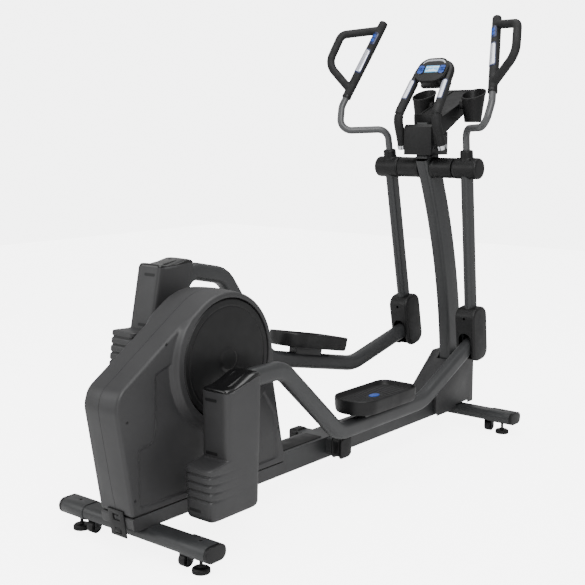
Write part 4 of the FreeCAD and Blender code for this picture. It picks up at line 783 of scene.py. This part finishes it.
def barFrame(low, top):
    # the direction of a straight bar, and the normal to it that faces the user
    direction = unit(top - low)
    normal = np.array([-1.0, 0, 0])
    return direction, unit(normal - direction * normal.dot(direction))


def cuffPlate(long, wide, radius, thickness, corner=7.0, narrow=1.0):
    # a rounded plate laid flat, then wrapped round a bar: its width turns into an angle
    half = np.array([long, wide]) / 2
    corners = np.array([(1, narrow), (-1, 1), (-1, -1), (1, -narrow)]) * half
    loop = evenLoop(roundedPath(corners, corner, steps=8), 160)
    share = np.concatenate([np.linspace(0.02, 0.94, 14), [0.985, 1.0, 1.0]])
    rise = np.concatenate([np.full(14, thickness), [thickness * 0.85, thickness * 0.5, -0.6]])
    flat = loop * share[:, None, None]
    angle = flat[..., 1] / radius
    lift = radius + rise[:, None]
    points = np.stack([flat[..., 0], lift * np.sin(angle), lift * np.cos(angle)], -1)
    return woven(points * mm)


for side, sign in sides.items():
    place = swingFrame(side)
    body = side + "_swing"
    route = np.array(handle["path"]) * (1, sign, 1) * mm
    path = roundedPath(route, np.array(handle["bends"]) * mm, closed=False, steps=14)
    addPiece(side + "_handlebar_tube", [rod(path, handle["radius"])], paleSteel,
             body, [side + "_handlebar"], place)
    low, top = np.array(handle["path"][3:]) * (1, sign, 1) * mm
    along = top - low
    direction, normal = barFrame(low, top)
    length = np.linalg.norm(along)
    core = np.array([low + along * handle["gripFrom"], low + along + direction * 7 * mm])
    bulge = rod(core, handle["grip"], 9, swell=lambda share: 1 + 0.05 * np.sin(math.pi * share) ** 2)
    loopRoute = np.array([low + along * handle["loopFrom"], np.array(handle["loop"][0]) * (1, sign, 1) * mm,
                          np.array(handle["loop"][1]) * (1, sign, 1) * mm, low + along * handle["loopTo"]])
    loopPath = roundedPath(loopRoute, np.array([20, *handle["loopBends"], 20]) * mm, closed=False, steps=14)
    loop = rod(loopPath, handle["loopRadius"], 4)
    mesh = fused("grip", [moved(bulge, place), moved(loop, place)], handle["voxel"] * mm, 7)
    addPiece(side + "_grip_foam", mesh, foamRubber, body, [side + "_handle_grip"])
    ferrule = rod(np.array([low + along * 0.1, low + along * 0.135]), handle["grip"] + 0.6)
    addPiece(side + "_grip_ferrule", [ferrule], blackNylon, body, place=place)
    plateAt = low + along * handle["plateAt"] + direction * handle["plateLong"] / 2 * mm
    for label, material, long, wide, lift, node in (
            ("trim", navyTrim, handle["plateLong"] + 8, 33, 0.9, None),
            ("sensor", satinPlate, handle["plateLong"] - 3, 26, 1.7, side + "_grip_sensor")):
        points, faces = cuffPlate(long, wide, handle["grip"] + 0.8, lift, narrow=0.8)
        points = onAxis(points, plateAt, direction, normal)
        addPiece("%s_grip_%s_plate" % (side, label), [(points, faces)], material, body,
                 [node] if node else [], place)
    keyAt = low + along * handle["keyAt"]
    points, faces = cuffPlate(52, 26, handle["grip"] + 0.6, 1.1, corner=8)
    base = (onAxis(points, keyAt, direction, normal), faces)
    addPiece(side + "_handle_key_bezel", [base], navyTrim, body, place=place)
    caps = []
    for shift in (-8.5, 8.5):
        points, faces = cuffPlate(14, 14, handle["grip"] + 1.2, 1.9, corner=4)
        caps.append((onAxis(points + (shift * mm, 0, 0), keyAt, direction, normal), faces))
    addPiece(side + "_handle_key_caps", caps, blueSilicone, side + "_handle_key",
             [side + "_handle_key"], place)
print("moving handlebars made")

# Fixed handlebar: an arch under the console, with a sensor plate on each leg.
arch = {"legs": [(1477, 87, 1122), (1428, 83, 1240), (1578, 68, 1440)], "bends": (30, 60, 48), "radius": 15.5,
        "stationZero": -833, "plateLong": 84, "foam": 18, "foamTop": 1372}
legs = np.array(arch["legs"]) + (arch["stationZero"], 0, 0)
route = np.concatenate([legs, legs[::-1] * (1, -1, 1)]) * mm
bends = np.array(arch["bends"] + arch["bends"][::-1]) * mm
archPath = roundedPath(route, bends, closed=False, steps=14)
addPiece("fixed_handlebar_tube", [rod(archPath, arch["radius"], reference=(0.3, 0, 1))],
         blackNylon, "frame", ["fixed_handlebar"])
along = alongPath(archPath, np.linspace(0, pathLength(archPath), 900))
isFoam = along[:, 2] < arch["foamTop"] * mm
foam = [along[:450][isFoam[:450]][8:], along[450:][isFoam[450:]][:-8]]
foam = [rod(run, arch["foam"], 5, reference=(0.3, 0, 1)) for run in foam]
addPiece("fixed_handlebar_foam", foam, foamRubber, "frame")
plates, trims = [], []
for sign in sides.values():
    knee, shoulder = legs[1] * (1, sign, 1) * mm, legs[2] * (1, sign, 1) * mm
    direction, normal = barFrame(knee, shoulder)
    at = knee + (shoulder - knee) * 0.3 + direction * arch["plateLong"] / 2 * mm
    points, faces = cuffPlate(arch["plateLong"], 22, arch["foam"] + 0.2, 1.2)
    plates.append((onAxis(points, at, direction, normal), faces))
    points, faces = cuffPlate(arch["plateLong"] + 8, 29, arch["foam"] + 0.1, 0.6)
    trims.append((onAxis(points, at, direction, normal), faces))
addPiece("fixed_grip_plates", plates, satinPlate, "frame", ["fixed_grip_sensors"])
addPiece("fixed_grip_trims", trims, navyTrim, "frame")
dressed("handlebar_clamps", chromedSteel, 0.8)

# Cups: a tapered wall with a rolled rim, and the lug that hangs each on the reading rack.
cup = {"at": (1658, 111, 1220), "small": 32, "large": 46, "high": 108, "wall": 3, "slant": 24}
slant = math.tan(math.radians(cup["slant"]))


def cupWall(radius, base, rows):
    # heights run up to a mouth cut on the slant: z = base + share * (high + x tan(slant)), with x on the wall
    angle = fullTurn(96)
    taper = (cup["large"] - cup["small"]) / cup["high"]
    share = np.linspace(0, 1, rows)[:, None]
    climb = share * (cup["high"] - base + radius * slant * np.cos(angle))
    climb = climb / (1 - share * taper * slant * np.cos(angle))
    wide = radius + taper * climb
    return np.stack([wide * np.cos(angle), wide * np.sin(angle), base + climb], -1)


cups = []
for sign in sides.values():
    spot = (np.array(cup["at"]) + (arch["stationZero"], 0, 0)) * (1, sign, 1) * mm
    outer = cupWall(cup["small"], 0, 30)
    inner = cupWall(cup["small"] - cup["wall"], cup["wall"], 30)[::-1]
    lip = cupWall(cup["small"] + 1.4, 0, 30)[-1:]
    foot = outer[:1] * (0.94, 0.94, 1)
    lipRows = [lip - (0, 0, 7), lip - (0, 0, 6), lip - (0, 0, 0.6), (lip + inner[:1]) / 2 + (0, 0, 0.5)]
    rows = np.concatenate([foot, outer[:1] * (0.99, 0.99, 1) + (0, 0, 0.4), outer[1:-1], *lipRows, inner])
    rows[:, :, 2] = np.maximum(rows[:, :, 2], 0)
    cups.append(shifted(woven(rows * mm), spot))
    lug = slabOf(rectLoop(-18, -30, 18, 0, 5), 60.4 * sign, 79 * sign, sign, "udv")
    cups.append(shifted(lug, (spot[0], 0, spot[2] + 80 * mm)))
addPiece("cup_pair", cups, blackNylon, "frame", ["cup_holders"])
dressed("reading_rack", blackNylon, 2.5)
dressed("console_neck_cover", blackNylon, 2.8)

# Console, in its own frame: X away from the user, Y to the user's left and Z up the slope.
consolePlace = (np.array([715, 0, 1400]) * mm, math.atan2(150, 200))
console = {"face": (128, 104, 44, 6), "glass": (58, 31), "glassRise": 8, "edge": 3, "arcInset": 9.0,
           "arcSection": (4.2, 0.9), "keyAcross": 46, "keyRise": 4, "keyGap": 9.6,
           "bars": (0.25, 0.4, 0.55, 0.75, 1.0, 0.8, 0.6, 0.9, 0.7, 0.45, 0.3), "barHeight": 13}


def panel(width, height, corner, near, far, y=0.0, z=0.0, edge=0.6, crown=0.0):
    loop = boxLoop(np.array([width, height]) / 2, corner, 14) + (y, z)
    return slabOf(loop * mm, far, near, -edge, "duv", -crown)


width, height, corner, rise = console["face"]
body = panel(width, height, corner, -23, -16, 0, rise, console["edge"])
recess = panel(console["glass"][0] + 1, console["glass"][1] + 1, 3, -30, -21.6, 0, console["glassRise"], 0.2)
pockets = [panel(19, 31, 5, -30, -19, sign * console["keyAcross"], console["keyRise"], 0.2)
           for sign in sides.values()]
mesh = carved("faceplate", [body], [recess] + pockets)
addPiece("console_faceplate_skin", placed(mesh, consolePlace), blackNylon, "frame", ["console_faceplate"])
shell = panel(100, 78, 20, -16, 20, 0, -7, 6)
addPiece("console_shell", [shell], blackNylon, "frame", ["console_pod"], consolePlace)
arcLoop = insetLoop(boxLoop((width / 2, height / 2), corner, 24), console["arcInset"])
arcLoop = arcLoop[arcLoop[:, 1] > 26] + (0, rise)
arcLine = np.column_stack([np.full(len(arcLoop), -23.0), arcLoop]) * mm
strip = boxLoop(np.array(console["arcSection"]) * mm, 0.7 * mm, 3)
strip = strip * np.sin(np.linspace(0.25, math.pi - 0.25, len(arcLine)))[:, None, None] ** 0.5
addPiece("console_silver_arc", [swept(arcLine, strip, np.array([1.0, 0, 0]))], silverTrim, "frame",
         place=consolePlace)
glass = panel(*console["glass"], 2.5, -22.6, -20.5, 0, console["glassRise"], 0.3)
addPiece("console_display_glass", [glass], litPanel, "frame", ["console_display"], consolePlace)
segments = []
for count, share in enumerate(console["bars"]):
    tall = console["barHeight"] * share
    segments.append(panel(3.6, tall, 0.4, -22.8, -22.3, (count - 5) * 4.7, -3 + tall / 2, 0.1))
for across, wide in ((-24, 12), (-8, 14), (10, 14), (25, 9)):
    segments.append(panel(wide, 4.5, 0.6, -22.8, -22.3, across * 0.9, 17, 0.1))
addPiece("console_display_segments", segments, darkInk, "frame", place=consolePlace)
for side, sign in sides.items():
    across, rise = sign * console["keyAcross"], console["keyRise"]
    caps = [panel(15, 8.2, 3, -25.5, -17.6, across, rise + step * console["keyGap"], 1.2, 0.3)
            for step in (-1, 0, 1)]
    addPiece("console_%s_key_caps" % side, caps, blueSilicone, "console_%s_keys" % side,
             ["console_%s_keys" % side], consolePlace)
    rims = [panel(15 * share, 1.2, 0.4, -23.3, -22.9, across, rise + lift, 0.1)
            for lift, share in ((18, 1.0), (-18, 0.7))]
    addPiece("console_%s_key_marks" % side, rims, whiteInk, "frame", place=consolePlace)
print("console made")

# Base: feet, rollers, screws and the CAD solids that only need their edges rolled over.
foot = {"offset": 251, "knurls": 36, "stations": (-833, 876),
        "profile": [(0, 0), (26, 0), (26, 11), (22, 15), (8, 16), (8, 22), (5, 22), (5, 47)]}
feet = []
for x in foot["stations"]:
    for sign in sides.values():
        angle = fullTurn(foot["knurls"] * 6)
        profile = roundedPath(np.array(foot["profile"]), 1.6, closed=False, steps=4)
        radius = np.broadcast_to(profile[:, :1], (len(profile), len(angle)))
        onRim = smoothStep((radius - 20) / 4) * smoothStep((profile[:, 1:] - 1) / 2)
        radius = radius - 0.9 * onRim * smoothStep(0.5 + 0.9 * np.cos(foot["knurls"] * angle))
        level = np.broadcast_to(profile[:, 1:], radius.shape)
        points = np.stack([radius * np.cos(angle) + x, radius * np.sin(angle) + sign * foot["offset"], level], -1)
        feet.append(woven(points * mm))
addPiece("levelling_feet_knurled", feet, blackNylon, "frame", ["levelling_feet"])
for material, bevel, nodes in (
        (coatedSteel, 1.5, ["main_frame", "rear_stabilizer", "front_stabilizer", "mast"]),
        (blackNylon, 2, ["frame_end_caps", "power_inlet_panel", "power_switch"]),
        (mouldedAbs, 6, ["front_cowls"]), (blackNylon, 1, ["front_rollers", "rear_rollers"]),
        (turnedSteel, 0.8, ["pivot_shaft", "crankshaft"]),
        (blackNylon, 0.3, ["casing_screws"]), (chromedSteel, 0.6, ["crank_bearings"]),
        (hardRubber, 0.4, ["drive_belts"]), (blackNylon, 0.6, ["drive_pulley", "step_up_pulley"]),
        (castIron, 1, ["generator_flywheel"]), (circuitBoard, 0.2, ["control_board"])):
    for node in nodes:
        dressed(node, material, bevel)

# Cross member bumpers, and the dark strip let into the top of the rail ahead of the housing.
bumper = {"x": 17, "half": 31, "low": 88, "high": 153, "inner": 78, "outer": 109, "corner": 14}
blocks = []
for sign in sides.values():
    loop = rectLoop(-bumper["half"], bumper["low"], bumper["half"], bumper["high"], bumper["corner"], 8)
    block = slabOf(loop, sign * bumper["inner"], sign * bumper["outer"], sign * 6, "udv")
    blocks.append(shifted(block, (bumper["x"] * mm, 0, 0)))
addPiece("cross_member_bumpers", blocks, blackNylon, "frame")
strip = {"rear": -247, "front": -16, "half": 34, "low": 149.6, "top": 151.6}
stripLoop = rectLoop(strip["rear"], -strip["half"], strip["front"], strip["half"], 4)
addPiece("rail_top_strip", [slabOf(stripLoop, strip["low"], strip["top"], 0.6, "uvd")],
         blackNylon, "frame")
print("base and drive dressed")

# Stage: a pale seamless floor, soft light from above and both sides, and the view of the picture.
stage = {"size": 14, "camera": (-2.759, -2.150, 1.196), "forward": (0.7643, 0.6258, -0.1552), "lens": 64.18,
         "aim": (0, 0, 0.7), "world": "#f4f4f4", "paper": ("#f6f6f6", "#fbfbfb"), "worldPower": 0.62,
         "backdrop": 6.0, "floorGlow": 5.4,
         "lights": (("key", (-2.6, -3.2, 3.6), 3.0, 175), ("fill", (-3.6, 2.4, 2.4), 3.0, 55),
                    ("top", (0.1, 0.0, 4.2), 3.5, 90))}
floorMaterial, tree, shader, where = newMaterial("studio paper, white")
seen = addNode(tree, "LightPath").outputs["Is Camera Ray"]
glow = addNode(tree, "Math", {0: seen, 1: stage["floorGlow"]}, operation="MULTIPLY").outputs["Value"]
feed(tree, shader, {"Base Color": ramped(tree, noiseAt(tree, where, 900), stage["paper"]), "Roughness": 0.9,
                    "Emission Color": (1, 1, 1, 1), "Emission Strength": glow})
floorMesh = bpy.data.meshes.new("floor")
half = stage["size"] / 2
corners = [(-half, -half, 0), (half, -half, 0), (half, half, 0), (-half, half, 0)]
floorMesh.from_pydata(corners, [], [(0, 1, 2, 3)])
floorMesh.materials.append(floorMaterial)
floor = newObject("floor", floorMesh)
for name, spot, size, power in stage["lights"]:
    light = bpy.data.lights.new(name, "AREA")
    light.shape = "DISK"
    light.size = size
    light.energy = power
    lamp = newObject(name, light)
    lamp.location = spot
    lamp.rotation_euler = (Vector(stage["aim"]) - Vector(spot)).to_track_quat("-Z", "Y").to_euler()
world = bpy.data.worlds.new("studio")
world.use_nodes = True
tree = world.node_tree
seen = addNode(tree, "LightPath").outputs["Is Camera Ray"]
power = addNode(tree, "MapRange", {"Value": seen, "To Min": stage["worldPower"], "To Max": stage["backdrop"]})
feed(tree, tree.nodes["Background"], {"Color": linear(stage["world"]), "Strength": power.outputs["Result"]})
bpy.context.scene.world = world
lens = bpy.data.cameras.new("view")
lens.lens = stage["lens"]
lens.sensor_width = 36
lens.clip_end = 60
camera = newObject("view", lens)
camera.location = stage["camera"]
camera.rotation_euler = Vector(stage["forward"]).to_track_quat("-Z", "Y").to_euler()
bpy.context.scene.camera = camera
